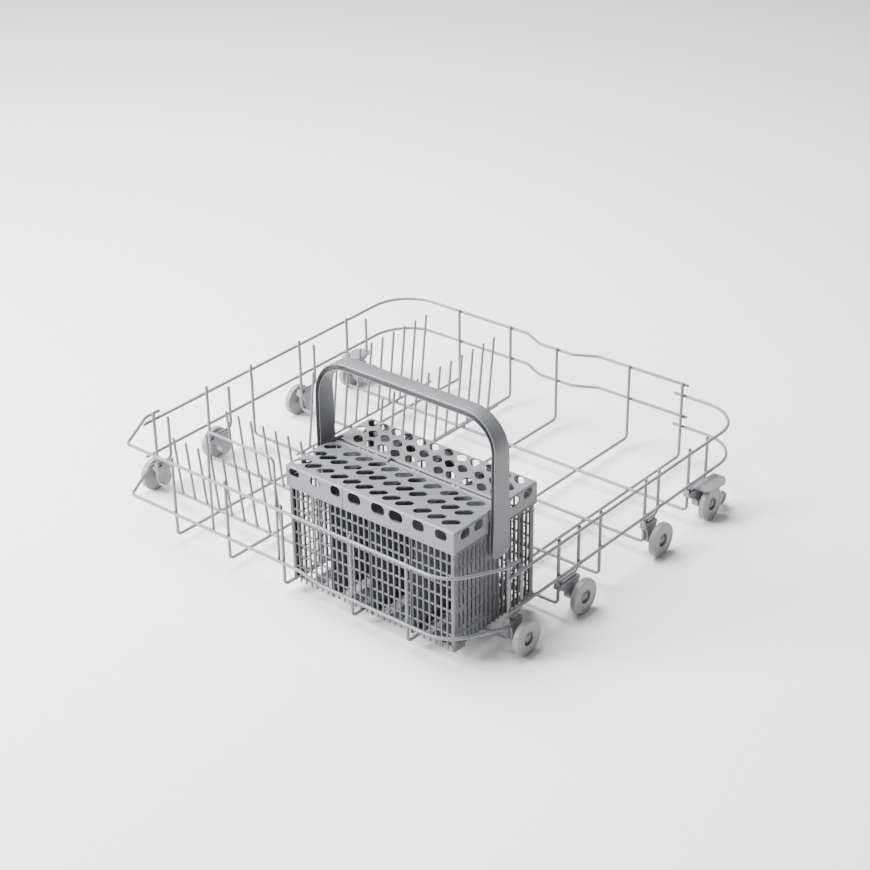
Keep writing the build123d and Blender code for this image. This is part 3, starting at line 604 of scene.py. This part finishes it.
def clip_outline(front, back, hub):
    """Side view: wide at the wires, drawn in with a slight waist to the round boss."""
    boss, low = CLIP_BOSS, CLIP_TOP - 3.6

    def edge(start, end, waist):
        """Three points down one side, from the foot of the plate to the boss."""
        return [(start + (end - start) * step / 4 + waist * sin(pi * step / 4),
                 low + (HUB_Z + 3.0 - low) * step / 4) for step in (1, 2, 3)]

    return [(front, low), (front, CLIP_TOP), (back, CLIP_TOP), (back, low),
            *edge(back, hub + boss, -1.6), *arc((hub, HUB_Z), boss, range(20, -201, -20)),
            *reversed(edge(front, hub - boss, 1.6))]


def axle_parts(hub):
    """Collar, axle and the two springy halves of its head, either side of the slit."""
    parts = [turned([(0.05, 251.0), (5.6, 251.0), (5.0, 252.0), (5.0, 258.3), (4.8, 258.5),
                     (AXLE, 258.5), (AXLE, 262.9), (0.05, 262.9)], 32, (hub, HUB_Z))]
    half = [(max(HALF_SLIT, y), z) for y, z in arc((0, 0), HEAD, range(-72, 73, 18))]
    half = [(HALF_SLIT, 0.2 - HEAD), *half, (HALF_SLIT, HEAD - 0.2)]
    for side in (-1, 1):
        parts.append(prism([(hub + side * y, HUB_Z + z) for y, z in half], 263.0, 264.4))
    return parts


def clip_parts(number, hub):
    """All the solids of one clip on the right side."""
    back = STIRRUP_Y[number]
    front = max(y for y in CROSS_Y if y < back)
    # The plate round the cross wire, the cup under the stirrup wire and the lip of the snap.
    parts = [prism(clip_outline(front - 3.6, hub + 8.6, hub), 243.2, CLIP_OUTER),
             block((243.5, front + 3.6, 35.0), (249.3, back - 7.0, 39.2)),
             prism([(front - 3.5, 33.4), (front - 3.5, 39.5), (front - 2.4, 40.6),
                    (front - 1.7, 33.4)], 243.6, 250.2), *axle_parts(hub)]
    if number == 3:
        # The guard over the wheel with its root, then the round stop with its arm.
        wing = [(248.5, hub - 14.0), (262.9, hub - 14.0), (268.0, hub - 10.5),
                (270.4, hub - 4.0), (270.4, hub + 16.0), (268.0, hub + 21.0),
                (262.9, hub + 26.0), (248.5, hub + 26.0)]
        stop = [(0.05, 248.5), (7.4, 248.5), (8.0, 249.2), (8.0, 260.8), (7.3, 261.5),
                (6.0, 261.5), (5.6, 260.6), (0.05, 260.6)]
        parts += [slab(wing, 38.9, 41.3),
                  block((248.5, hub - 8.0, 33.4), (251.4, hub + 8.0, 39.5)),
                  block((248.6, hub, 12.5), (251.4, hub + STOP_BACK, 19.6)),
                  turned(stop, 40, (hub + STOP_BACK, 12.0))]
    return parts


clip_plastic = moulded_clip()
for side_name, side in (("right", 1), ("left", -1)):
    parts = [([(side * x, y, z) for x, y, z in corners], faces)
             for number, hub in enumerate(WHEEL_Y) for corners, faces in clip_parts(number, hub)]
    clips = moulded(side_name + "_wheel_clips", parts, clip_plastic, rounding(0.55, 3))
    hand_over(clips, "rack", "carrier_plastic", side_name + "_wheel_carriers")


# CUTLERY BASKET WALLS: an injection-moulded lattice. Thin upright ribs between thick ones at
# the compartments, with level bars set back behind them. The end walls are close upright fins.
# Grey talc-filled polypropylene, darker than the lid's: partly its own tone and partly painted
# shade for the shaded walls and insides, so that the small openings look nearly black from
# outside.

BODY = (6.5, -229.5, 219.3, -104.5)  # left, front, right, back of the basket body
BODY_LOW, BODY_FLOOR = 13.1, 16.7
WALL = 2.0
APRON_LOW, BAND_TOP = 124.2, 134.2  # foot of the aprons, top of the bands in them
BAY = (BODY[2] - BODY[0] - 2 * WALL) / 4
END_INSET = 5.0  # how far the fins stay clear of the corners
SEAT_Y, SEAT_FOOT = (-182.0, -152.0), 93.4


def moulded_polypropylene(name, dark, light, grain, roughness):
    """Talc-filled polypropylene: even colour, faint flow clouds, a matt spark-eroded grain."""
    skin = Finish(name)
    # Flow clouds 40 mm long; dried water spots under 3 mm, a little lighter.
    flow, spots = skin.noise(40, 4.0), skin.cells(7.5)
    dried = skin.spread(spots, 0.14, 0.0, 0.12, 0.2)
    skin.set({"IOR": 1.49, "Sheen Weight": 0.05,
              "Base Color": skin.mix(dried, skin.mix(flow, dark, light), "#868788"),
              "Roughness": skin.spread(flow, *roughness, 0.3, 0.7)})
    # The grain is drawn at the given size in millimetres and 0.04 mm deep.
    skin.relief(skin.noise(grain, 2.0), 0.3, 0.04)
    return skin.made


def lattice_tree():
    """A wall along X: bays of thin ribs between thick ones, with level bars behind them."""
    counts, lengths = ("Bays", "Columns", "Rows"), (
        "Bay width", "Height", "Foot", "Thin rib", "Thick rib", "Rib depth", "Bar height",
        "Bar depth")
    tree = Tree("lattice_wall", {
        "Start": "Geometry", **dict.fromkeys(counts, "Int"), **dict.fromkeys(lengths, "Float"),
        "Plastic": "Material"})
    given, maths, vector = tree.given, tree.maths, tree.vector

    def row(gaps, start, step, size):
        """Boxes of one size in a straight row, one more than it has gaps."""
        line = tree.run("MeshLine", {"Count": maths("ADD", gaps, 1.0), "Start Location": start,
                                     "Offset": step})
        box = tree.run("MeshCube", {"Size": size})
        return tree.run("InstanceOnPoints", {"Points": line, "Instance": box})

    bays, bay, height = given["Bays"], given["Bay width"], given["Height"]
    deep, bar_deep, bar = given["Rib depth"], given["Bar depth"], given["Bar height"]
    length = maths("MULTIPLY", bay, bays)
    middle = vector(0.0, 0.0, maths("MULTIPLY", height, 0.5))
    thin = row(maths("MULTIPLY", bays, given["Columns"]), middle,
               vector(maths("DIVIDE", bay, given["Columns"]), 0.0, 0.0),
               vector(given["Thin rib"], deep, height))
    thick = row(bays, middle, vector(bay, 0.0, 0.0), vector(given["Thick rib"], deep, height))
    barred = maths("SUBTRACT", maths("SUBTRACT", height, given["Foot"]), bar)
    lowest = vector(maths("MULTIPLY", length, 0.5),
                    maths("MULTIPLY", maths("SUBTRACT", deep, bar_deep), 0.5),
                    maths("ADD", given["Foot"], maths("MULTIPLY", bar, 0.5)))
    bars = row(given["Rows"], lowest, vector(0.0, 0.0, maths("DIVIDE", barred, given["Rows"])),
               vector(length, bar_deep, bar))
    wall = tree.run("InstanceOnPoints", {"Points": given["Start"],
                                         "Instance": tree.join(thin, thick, bars)})
    return tree.close(wall, given["Plastic"])


# Its darker grey is partly painted shade, for the walls, floor and dividers that stand in shade
# beside and under the lit lids.
basket_plastic = moulded_polypropylene("talc_filled_polypropylene", "#56575A", "#606164", 0.6,
                                       (0.42, 0.56))
lattice = lattice_tree()
ROUNDED = rounding(0.3)


def lattice_wall(name, values, turn, place, node):
    """Grows one wall along X, turns it into its place and sets it on the basket."""
    metres = {key: value / 1000 if isinstance(value, float) else value
              for key, value in values.items()}
    wall = grown(name, mesh_with(name, [(0, 0, 0)]),
                 (lattice, {**metres, "Plastic": basket_plastic}), ROUNDED)
    wall.data.transform(Matrix.Translation(Vector(place) / 1000) @ turn)
    set_smooth(wall.data)
    hand_over(wall, "cutlery_basket", "basket_plastic", node)


# Counts are whole numbers, and every other value is in millimetres.
long_wall = {"Bays": 4, "Columns": 7, "Rows": 8, "Bay width": BAY,
             "Height": APRON_LOW + 1.8 - BODY_LOW, "Foot": BODY_FLOOR - BODY_LOW,
             "Thin rib": 1.9, "Thick rib": 3.4, "Rib depth": 1.8, "Bar height": 2.2,
             "Bar depth": 1.3}
lattice_wall("front_lattice", long_wall, Matrix.Identity(4),
             (BODY[0] + WALL, BODY[1] + WALL / 2, BODY_LOW), "basket_front_wall")
lattice_wall("rear_lattice", long_wall, Matrix.Diagonal((-1, -1, 1, 1)),
             (BODY[2] - WALL, BODY[3] - WALL / 2, BODY_LOW), "basket_rear_wall")
end_wall = {"Bays": 1, "Columns": 18, "Rows": 8, "Bay width": BODY[3] - BODY[1] - 2 * END_INSET,
            "Height": APRON_LOW + 8.0 - BODY_FLOOR, "Foot": 0.0, "Thin rib": 1.9,
            "Thick rib": 3.0, "Rib depth": 2.4, "Bar height": 1.4, "Bar depth": 0.8}
for name, turn_by, x, y, node in (
        ("left_fins", -90, BODY[0] + 1.3, BODY[3] - END_INSET, "basket_left_wall"),
        ("right_fins", 90, BODY[2] - 1.3, BODY[1] + END_INSET, "basket_right_wall")):
    lattice_wall(name, end_wall, Matrix.Rotation(radians(turn_by), 4, "Z"),
                 (x, y, BODY_FLOOR), node)
# Plain bands close the walls above the lattice, and each leg of the handle has a plain seat.
solid_parts = []
for side, edge in ((1, BODY[1]), (-1, BODY[3])):
    near, far = sorted((edge + side * 0.15, edge + side * 1.85))
    solid_parts.append(block((BODY[0] + 1, near, APRON_LOW + 1.2), (BODY[2] - 1, far, BAND_TOP)))
for side, edge in ((1, BODY[0]), (-1, BODY[2])):
    near, far = sorted((edge + side * 0.25, edge + side * 1.75))
    solid_parts.append(block((near, BODY[1] + 1, APRON_LOW + 6.4), (far, BODY[3] - 1, BAND_TOP)))
    near, far = sorted((edge + side * 0.2, edge + side * 1.9))
    solid_parts.append(block((near, SEAT_Y[0], SEAT_FOOT), (far, SEAT_Y[1], BAND_TOP)))
bands = moulded("wall_bands_and_seats", solid_parts, basket_plastic, ROUNDED)
hand_over(bands, "cutlery_basket", "basket_plastic")


# POSTS, FLOOR AND DIVIDERS: the solid parts of the same moulding. Angled posts close the four
# corners and end in feet, the floor drains through slots, and thin upright walls part the eight
# compartments. Their edges are slightly rounded, as in every moulding.

ARM, SHORT_ARM, FOOT_ARM, CORNER = 6.4, 4.4, 16.0, 1.6  # plan of a corner post and its foot


def eased(name, node, width):
    """A copy of a plain solid of the basket with its edges rounded, in the place of the node."""
    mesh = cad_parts[node].data.copy()
    work = bmesh.new()
    work.from_mesh(mesh)
    bmesh.ops.remove_doubles(work, verts=work.verts, dist=0.000001)
    bmesh.ops.dissolve_limit(work, angle_limit=radians(1), verts=work.verts, edges=work.edges)
    work.to_mesh(mesh)
    work.free()
    mesh.materials.clear()
    mesh.shade_smooth()
    piece = grown(name, mesh, rounding(width, 3), ("WEIGHTED_NORMAL", {}))
    piece.data.materials.append(basket_plastic)
    hand_over(piece, "cutlery_basket", "basket_plastic", node)


post_parts = []
corner = arc((CORNER, CORNER), CORNER, range(270, 179, -15))
post = [*corner, (0, ARM), (WALL, ARM), (WALL, WALL), (SHORT_ARM, WALL), (SHORT_ARM, 0)]
foot = [*corner, (0, FOOT_ARM), (WALL, FOOT_ARM), (WALL, 0)]
for side_x, edge_x in ((1, BODY[0]), (-1, BODY[2])):
    for side_y, edge_y in ((1, BODY[1]), (-1, BODY[3])):
        for outline, low, high in ((post, 21.0, BAND_TOP + 2.0), (foot, BODY_LOW, 22.0)):
            post_parts.append(slab([(edge_x + side_x * x, edge_y + side_y * y)
                                    for x, y in outline], low, high))
posts = moulded("corner_posts_moulded", post_parts, basket_plastic, rounding(0.4))
hand_over(posts, "cutlery_basket", "basket_plastic", "basket_corner_posts")
eased("floor_moulded", "basket_floor", 0.5)
eased("long_divider_moulded", "basket_long_divider", 0.4)
eased("cross_dividers_moulded", "basket_cross_dividers", 0.4)


# HINGE LUGS: three upright blocks on the long divider, rounded at the top, in which the hinge
# pins end. The two at the sides hold a front and a rear pin, the middle one only front pins.

DIVIDER_Y, DIVIDER_TOP = -159.0, 143.5
HINGE_Y, HINGE_Z, LUG_ROUND = (-162.4, -155.6), 147.2, 3.7
LUG_SPANS = [(8.5, 11.5), (79.5, 82.5), (214.3, 217.3)]


def lug_outline(shared):
    """Side view of a lug: half a circle round each pin, or round the front one only."""
    front = arc((HINGE_Y[0], HINGE_Z), LUG_ROUND, range(270, 89, -12))
    if shared:
        return front + arc((HINGE_Y[1], HINGE_Z), LUG_ROUND, range(90, -91, -12))
    rear = DIVIDER_Y + 0.8
    return [*front, (rear, HINGE_Z + LUG_ROUND), (rear, DIVIDER_TOP)]


lug_parts = [prism(lug_outline(number != 1), x0, x1) for number, (x0, x1) in enumerate(LUG_SPANS)]
lugs = moulded("hinge_lugs_moulded", lug_parts, basket_plastic, ROUNDED)
hand_over(lugs, "cutlery_basket", "basket_plastic", "lid_hinge_lugs")


# LIDS: three flaps with slanting slots, two in front and one behind. Each is one moulding, a
# pierced plate with a rounded edge, aprons that close over the basket walls, and a hinge pin
# that snaps into the lugs. The grey is lighter than the basket's: partly the plastic's own tone,
# partly painted light on the lit top, against the painted shade of the basket.

LID_TOP, LID_SHEET, LID_EDGE = 148.2, 1.4, 2.4
LID_LEFT, LID_RIGHT, LID_FRONT, LID_BACK = 4.2, 221.6, -231.8, -102.2
SEAM = (80.7, 81.3)
SHOULDER, NECK, REAR_SHOULDER = -180.6, -166.5, -151.5
# Slots: the place of each row along Y and of its slots along X. They aren't quite regular.
FRONT_SLOTS = {
    -216.3: (15.0, 29.6, 45.4, 63.9, 80.5, 96.7, 114.8, 131.2, 147.6, 170.0, 187.5, 205.0),
    -194.6: (15.6, 29.2, 44.2, 62.0, 78.2, 95.0, 113.2, 129.8, 146.4, 169.6, 186.5, 203.3),
    -174.6: (17.0, 43.2, 59.6, 76.4, 93.4, 111.6, 128.4, 148.0, 169.0, 185.8, 201.6)}
REAR_SLOTS = {
    -111.4: (15.4, 31.0, 47.0, 63.8, 81.2, 97.7, 116.6, 133.3, 150.0, 169.0, 189.0, 205.2),
    -129.0: (15.4, 31.2, 47.4, 64.0, 81.7, 99.0, 116.2, 132.0, 148.6, 169.9, 188.0, 206.2),
    -146.2: (26.0, 42.4, 58.3, 75.5, 94.6, 111.2, 131.7, 147.2, 168.8, 186.0, 203.0)}
# Holes in the long aprons: place along X, width and height, with their tops in line. Those in
# the end aprons: place along Y, under True for the front flaps and False for the rear one.
APRON_HOLES = ((16.6, 14.0, 8.6), (45.0, 14.0, 10.0), (71.4, 13.0, 11.0), (96.1, 16.5, 11.6),
               (126.4, 17.0, 12.0), (149.0, 17.5, 12.0), (177.1, 14.5, 11.2), (204.9, 14.5, 10.6))
END_HOLES = {True: (-215.6, -195.5), False: (-139.1, -118.4)}
HOLE_TOP = 146.5
# Length, width and corner radius of an opening, and the turn of the slots in degrees.
LONG_SLOT, SHORT_SLOT, OVAL = (18.8, 8.8, 4.35), (15.0, 9.4, 4.0), (14.0, 10.0, 4.4)
LONG_TURN, SHORT_TURN, HALF_SLOT = 41.0, -43.0, 8.0
LIP, PIN, PIN_IN_LUG = 1.5, 1.8, 1.35  # gauge, radius, and how deep a pin sits in its lug
NOTCH = [(start - 0.3, end + 0.3) for start, end in LUG_SPANS]  # the plates clear the lugs


def pierce_tree():
    """Cuts a rounded opening through a sheet at each mark, by its 'facing' and 'stretch'."""
    tree = Tree("pierced_sheet", {
        "Sheet": "Geometry", "Marks": "Object", "Width": "Float", "Height": "Float",
        "Corner radius": "Float", "Depth": "Float", "Plastic": "Material"})
    given = tree.given
    outline = tree.run("CurvePrimitiveQuadrilateral", {"Width": given["Width"],
                                                       "Height": given["Height"]})
    soft = tree.run("FilletCurve", {"Curve": outline, "Count": 5,
                                    "Radius": given["Corner radius"], "Limit Radius": True},
                    mode="POLY")
    low = tree.vector(0.0, 0.0, tree.maths("MULTIPLY", given["Depth"], -0.5))
    base = tree.run("Transform", {
        "Geometry": tree.run("FillCurve", {"Curve": soft}, mode="NGONS"), "Translation": low})
    risen = tree.run("ExtrudeMesh", {"Mesh": base, "Offset": (0.0, 0.0, 1.0),
                                     "Offset Scale": given["Depth"], "Individual": False})
    under = tree.run("FlipFaces", {"Mesh": base})
    cutter = tree.run("MergeByDistance", {"Geometry": tree.join(risen, under),
                                          "Distance": 0.000001})
    turn = add(tree.made, "FunctionNodeEulerToRotation", {
        "Euler": tree.attribute("facing", "FLOAT_VECTOR")})
    marks = add(tree.made, "GeometryNodeObjectInfo", {"Object": given["Marks"]})
    cutters = tree.run("InstanceOnPoints", {
        "Points": marks.outputs["Geometry"], "Instance": cutter, "Rotation": turn.outputs[0],
        "Scale": tree.attribute("stretch", "FLOAT_VECTOR")})
    solid = tree.run("RealizeInstances", {"Geometry": cutters})
    pierced = tree.run("MeshBoolean", {"Mesh 1": given["Sheet"], "Mesh 2": solid},
                       operation="DIFFERENCE", solver="EXACT")
    return tree.close(tree.run("SetShadeSmooth", {"Geometry": pierced}), given["Plastic"])


def lid_shell(name, plan, apron_runs):
    """The outer skin of a flap: its plan, and aprons hanging from a run of its edges."""
    work = bmesh.new()
    top = [work.verts.new((x / 1000, y / 1000, LID_TOP / 1000)) for x, y in plan]
    work.faces.new(top)
    low = {}
    for place in apron_runs + [(apron_runs[-1] + 1) % len(plan)]:
        x, y = plan[place]
        low[place] = work.verts.new((x / 1000, y / 1000, APRON_LOW / 1000))
    for place in apron_runs:
        after = (place + 1) % len(plan)
        work.faces.new((low[place], low[after], top[after], top[place]))
    work.normal_update()
    folds = [edge for edge in work.edges if len(edge.link_faces) == 2]
    bmesh.ops.bevel(work, geom=folds, offset=LID_EDGE / 1000, segments=5, profile=0.5,
                    affect="EDGES")
    mesh = bpy.data.meshes.new(name)
    work.to_mesh(mesh)
    work.free()
    mesh.shade_smooth()
    return mesh


def hole_marks(name, marks):
    """Points that say where openings go, with the turn in degrees and the stretch of each."""
    turns = [radians(angle) for place, facing, stretch in marks for angle in facing]
    scales = [share for place, facing, stretch in marks for share in stretch]
    return placed(name, mesh_with(name, [mark[0] for mark in marks],
                                  facing=("FLOAT_VECTOR", turns),
                                  stretch=("FLOAT_VECTOR", scales)))


pierce = pierce_tree()
# Lighter than the basket's grey: partly the plastic's own tone, partly painted light for the lit
# tops of the lids.
lid_plastic = moulded_polypropylene("talc_filled_polypropylene_lid", "#6A6B6E", "#747578", 0.7,
                                    (0.36, 0.5))


def lid(name, plan, apron_runs, x0, x1, front):
    """One flap with its slots, its apron openings, its lip and its pin."""
    outer, rows, slot, turn_by = ((LID_FRONT, FRONT_SLOTS, LONG_SLOT, LONG_TURN) if front else
                                  (LID_BACK, REAR_SLOTS, SHORT_SLOT, SHORT_TURN))
    plain = (1.0, 1.0, 1.0)
    # A slot that lies across the seam cuts both front flaps.
    slots = [((x, y, LID_TOP), (0, 0, turn_by), plain) for y, row in rows.items() for x in row
             if x0 - HALF_SLOT < x < x1 + HALF_SLOT]
    ovals = [((x, outer, HOLE_TOP - tall / 2), (90, 0, 0), (wide / OVAL[0], tall / OVAL[1], 1.0))
             for x, wide, tall in APRON_HOLES if x0 < x < x1]
    ovals += [((x, y, HOLE_TOP - OVAL[1] / 2), (90, 0, 90), plain) for y in END_HOLES[front]
              for x in (x0, x1) if x in (LID_LEFT, LID_RIGHT)]
    cuts = []
    for label, marks, size in (("_slots", slots, slot), ("_ovals", ovals, OVAL)):
        length, width, corner = size
        cuts.append((pierce, {
            "Marks": hole_marks(name + label, marks), "Width": length / 1000,
            "Height": width / 1000, "Corner radius": corner / 1000, "Depth": 0.009,
            "Plastic": lid_plastic}))
    piece = grown(
        name + "_moulded", lid_shell(name + "_moulded", plan, apron_runs),
        ("SOLIDIFY", {"thickness": LID_SHEET / 1000, "offset": -1.0, "use_even_offset": True}),
        *cuts, rounding(0.25, degrees=40), ("WEIGHTED_NORMAL", {}))
    for stage, values in cuts:
        bpy.data.objects.remove(values["Marks"])
    hand_over(piece, name, "lid_plastic", name + "_flap", name + "_aprons")
    # The lip: a round bead along the foot of each end apron, which stiffens it.
    lines = []
    for place in apron_runs:
        start, end = [Vector((x, y, APRON_LOW + 0.8)) for x, y in plan[place:place + 2]]
        if start.x == end.x:
            inset = (end - start).normalized() * 1.9
            lines.append(wire_line([start + inset, end - inset], gauge=LIP))
    lip = grown(name + "_lip", line_mesh(name + "_lip", lines),
                (wire_tree, {"Gauge": LIP / 1000, "Faces round": 10, "Steps in a bend": 5,
                             "Coat": lid_plastic}))
    hand_over(lip, name, "lid_plastic")
    # The hinge pin, moulded on the inner edge of the plate, runs from lug to lug.
    first = 1 if front and x0 != LID_LEFT else 0
    last = 1 if front and x0 == LID_LEFT else 2
    near, far = LUG_SPANS[first][1] - PIN_IN_LUG, LUG_SPANS[last][0] + PIN_IN_LUG
    section = [(0.05, near), (PIN - 0.4, near), (PIN, near + 0.5), (PIN, far - 0.5),
               (PIN - 0.4, far), (0.05, far)]
    centre = (HINGE_Y[0 if front else 1], HINGE_Z)
    hand_over(moulded(name + "_pin", [turned(section, 24, centre)], lid_plastic), name,
              "lid_plastic")


(front_pin, rear_pin), (left, right) = HINGE_Y, SEAM
lid("front_left_lid",
    [(LID_LEFT, SHOULDER), (LID_LEFT, LID_FRONT), (left, LID_FRONT), (left, NECK),
     (NOTCH[1][0], NECK), (NOTCH[1][0], front_pin), (NOTCH[0][1], front_pin),
     (NOTCH[0][1], NECK), (BODY[0], NECK), (BODY[0], SHOULDER)], [0, 1], LID_LEFT, left, True)
lid("front_right_lid",
    [(right, LID_FRONT), (LID_RIGHT, LID_FRONT), (LID_RIGHT, SHOULDER), (BODY[2], SHOULDER),
     (BODY[2], NECK), (NOTCH[2][0], NECK), (NOTCH[2][0], front_pin), (NOTCH[1][1], front_pin),
     (NOTCH[1][1], NECK), (right, NECK)], [0, 1], right, LID_RIGHT, True)
lid("rear_lid",
    [(LID_RIGHT, REAR_SHOULDER), (LID_RIGHT, LID_BACK), (LID_LEFT, LID_BACK),
     (LID_LEFT, REAR_SHOULDER), (NOTCH[0][1], REAR_SHOULDER), (NOTCH[0][1], rear_pin),
     (NOTCH[2][0], rear_pin), (NOTCH[2][0], REAR_SHOULDER)], [0, 1, 2], LID_LEFT, LID_RIGHT,
    False)


# HANDLE: one arched moulding in light grey ABS, two bands joined by a web, so that a dark groove
# runs along both edges. Its legs widen to the feet, where a pad rests on each end wall and a
# square stud snaps through it.

HANDLE_X, HANDLE_Y = (1.1, 224.7), -167.0
HANDLE_CENTRE_TOP, HANDLE_BEND = 243.2, 36.0
FOOT, PAD_TOP, FOOT_ROUND = 95.8, 119.8, 6.0
LEG_HALF, FOOT_MORE, ARCH_LESS = 11.6, 1.4, 2.4
WIDENS, NARROWS = (152.0, 112.0), (190.0, 240.0)  # heights, down and up
STUD_HALF, STUD_Z = 3.4, (104.4, 111.2)


def moulded_abs():
    """Light grey ABS from a fine-textured mould, rubbed a little smoother where hands hold it."""
    skin = Finish("moulded_abs_handle")
    # Flow clouds 50 mm long, and hand wear in 12 mm patches that grows towards the arch.
    flow, wear = skin.noise(50, 3.0), skin.spread(skin.noise(12, 5.0), 0.42, 0.54)
    held = skin.spread(skin.along("Z"), 0.0, 0.12, 0.2, 0.24)
    rubbed = add(skin.tree, "ShaderNodeMath", {0: wear, 1: held}, operation="SUBTRACT")
    skin.set({"IOR": 1.54, "Base Color": skin.mix(flow, "#66676A", "#707174"),
              "Roughness": rubbed.outputs[0]})
    # Mould texture drawn at 0.8 mm, about twice as coarse as the real one, so that it shows.
    skin.relief(skin.cells(0.8), 0.25, 0.05)
    return skin.made


def grooved_section(half, rise):
    """The section as places along Y and outwards: outer band, groove, web, inner band."""
    outer, inner = 2.8, -2.8 - 1.9 * rise
    side = [(half - 1.2, outer), (half - 0.4, outer - 0.2), (half, outer - 0.7),
            (half - 0.1, outer - 1.2), (half - 6.1, outer - 1.3), (half - 6.4, outer - 1.6),
            (half - 6.4, inner + 1.3), (half - 6.1, inner + 1.0), (half - 0.9, inner + 0.9),
            (half - 0.7, inner + 0.45), (half - 0.9, inner + 0.15), (half - 1.4, inner)]
    return side + [(-y, out) for y, out in reversed(side)]


def half_width(height):
    """Half of the width: 13 mm at the rounded feet, 11.6 on the legs, 9.2 on the arch."""
    low = min(max((WIDENS[0] - height) / (WIDENS[0] - WIDENS[1]), 0.0), 1.0)
    high = min(max((height - NARROWS[0]) / (NARROWS[1] - NARROWS[0]), 0.0), 1.0)
    half = LEG_HALF + FOOT_MORE * low * low * (3 - 2 * low)
    half -= ARCH_LESS * high * high * (3 - 2 * high)
    if height < FOOT + FOOT_ROUND:
        share = (FOOT + FOOT_ROUND - height) / FOOT_ROUND
        half -= FOOT_ROUND * (1 - (1 - share ** 2) ** 0.5)
    return half


def handle_path():
    """Stations along the arch: place along X, height, and the outward direction."""
    left_x, right_x = HANDLE_X
    bend_z, bend = HANDLE_CENTRE_TOP - HANDLE_BEND, HANDLE_BEND
    heights = [FOOT + step for step in (0.0, 0.4, 1.2, 2.5, 4.2)]
    heights += [FOOT + FOOT_ROUND + 7.0 * step for step in range(15)]
    left_leg = [(left_x, z, -1.0, 0.0) for z in heights]
    left_arc = [(left_x + bend * (1 - cos(radians(a))), bend_z + bend * sin(radians(a)),
                 -cos(radians(a)), sin(radians(a))) for a in range(0, 91, 6)]
    mirror = left_x + right_x
    half = left_leg + left_arc
    return half + [(mirror - x, z, -out_x, out_z) for x, z, out_x, out_z in reversed(half)]


def handle_band():
    """The grooved section laid along the arch. Its depth moves inwards as it rises."""
    corners, faces = [], []
    stations = handle_path()
    count = len(grooved_section(1.0, 0.0))
    for x, z, out_x, out_z in stations:
        for y, out in grooved_section(half_width(z), out_z):
            corners.append((x + out * out_x, HANDLE_Y + y, z + out * out_z))
    for number in range(len(stations) - 1):
        for place in range(count):
            after = (place + 1) % count
            faces.append((number * count + place, number * count + after,
                          (number + 1) * count + after, (number + 1) * count + place))
    last = (len(stations) - 1) * count
    faces += [list(range(count)), list(range(last, last + count))]
    return corners, faces


abs_plastic = moulded_abs()
band = moulded("handle_band", [handle_band()], abs_plastic)
hand_over(band, "cutlery_basket", "handle_plastic", "basket_handle")
pads = []
for side, wall in ((1, BODY[0]), (-1, BODY[2])):
    for one, other, half, low, high in ((-2.9, -0.3, 10.6, FOOT + 2.0, PAD_TOP),
                                        (2.6, -2.5, STUD_HALF, *STUD_Z)):
        near, far = sorted((wall + side * one, wall + side * other))
        pads.append(block((near, HANDLE_Y - half, low), (far, HANDLE_Y + half, high)))
feet = moulded("handle_pads", pads, abs_plastic, rounding(0.6, 3, 30))
hand_over(feet, "cutlery_basket", "handle_plastic")


# STUDIO: a white sheet, a broad light overhead, one at the left, and a camera that stands where
# the photograph was taken.

def studio_sheet():
    """Matt white paper, with a faint fibre so that it isn't perfectly flat."""
    paper = Finish("white_paper_sheet")
    paper.set({"Roughness": 0.9,
               "Base Color": paper.mix(paper.noise(50 / 3, 3.0), "#F4F4F4", "#F8F8F8")})
    return paper.made


floor = mesh_with("floor", [(-6000, -6000, 0), (6000, -6000, 0), (6000, 6000, 0),
                            (-6000, 6000, 0)], (), [(0, 1, 2, 3)])
floor.materials.append(studio_sheet())
placed("floor", floor)

world = bpy.data.worlds.new("studio")
world.use_nodes = True
feed(world.node_tree, world.node_tree.nodes["Background"],
     {"Color": (1.0, 1.0, 1.0, 1.0), "Strength": 0.3})
bpy.context.scene.world = world

for name, place, width, power in (("overhead_light", (-0.8, -0.1, 2.1), 1.6, 160.0),
                                  ("front_left_light", (-1.6, -2.0, 1.5), 1.1, 200.0)):
    lamp = bpy.data.lights.new(name, "AREA")
    lamp.energy, lamp.size = power, width
    aim = (Vector((0.0, 0.0, 0.08)) - Vector(place)).to_track_quat("-Z", "Y")
    placed(name, lamp).matrix_world = Matrix.Translation(place) @ aim.to_matrix().to_4x4()

yaw, pitch, roll = radians(39.898), radians(28.073), radians(0.701)
ahead = Vector((-sin(yaw) * cos(pitch), cos(yaw) * cos(pitch), -sin(pitch)))
across = Vector((cos(yaw), sin(yaw), 0.0))
down = ahead.cross(across)
across, down = (cos(roll) * across + sin(roll) * down, cos(roll) * down - sin(roll) * across)
eye = bpy.data.cameras.new("camera")
eye.lens, eye.sensor_width = 77.44, 36.0
camera = placed("camera", eye)
turn = Matrix((across, -down, -ahead)).transposed().to_4x4()
camera.matrix_world = Matrix.Translation((1.1635, -1.3848, 1.0472)) @ turn
bpy.context.scene.camera = camera
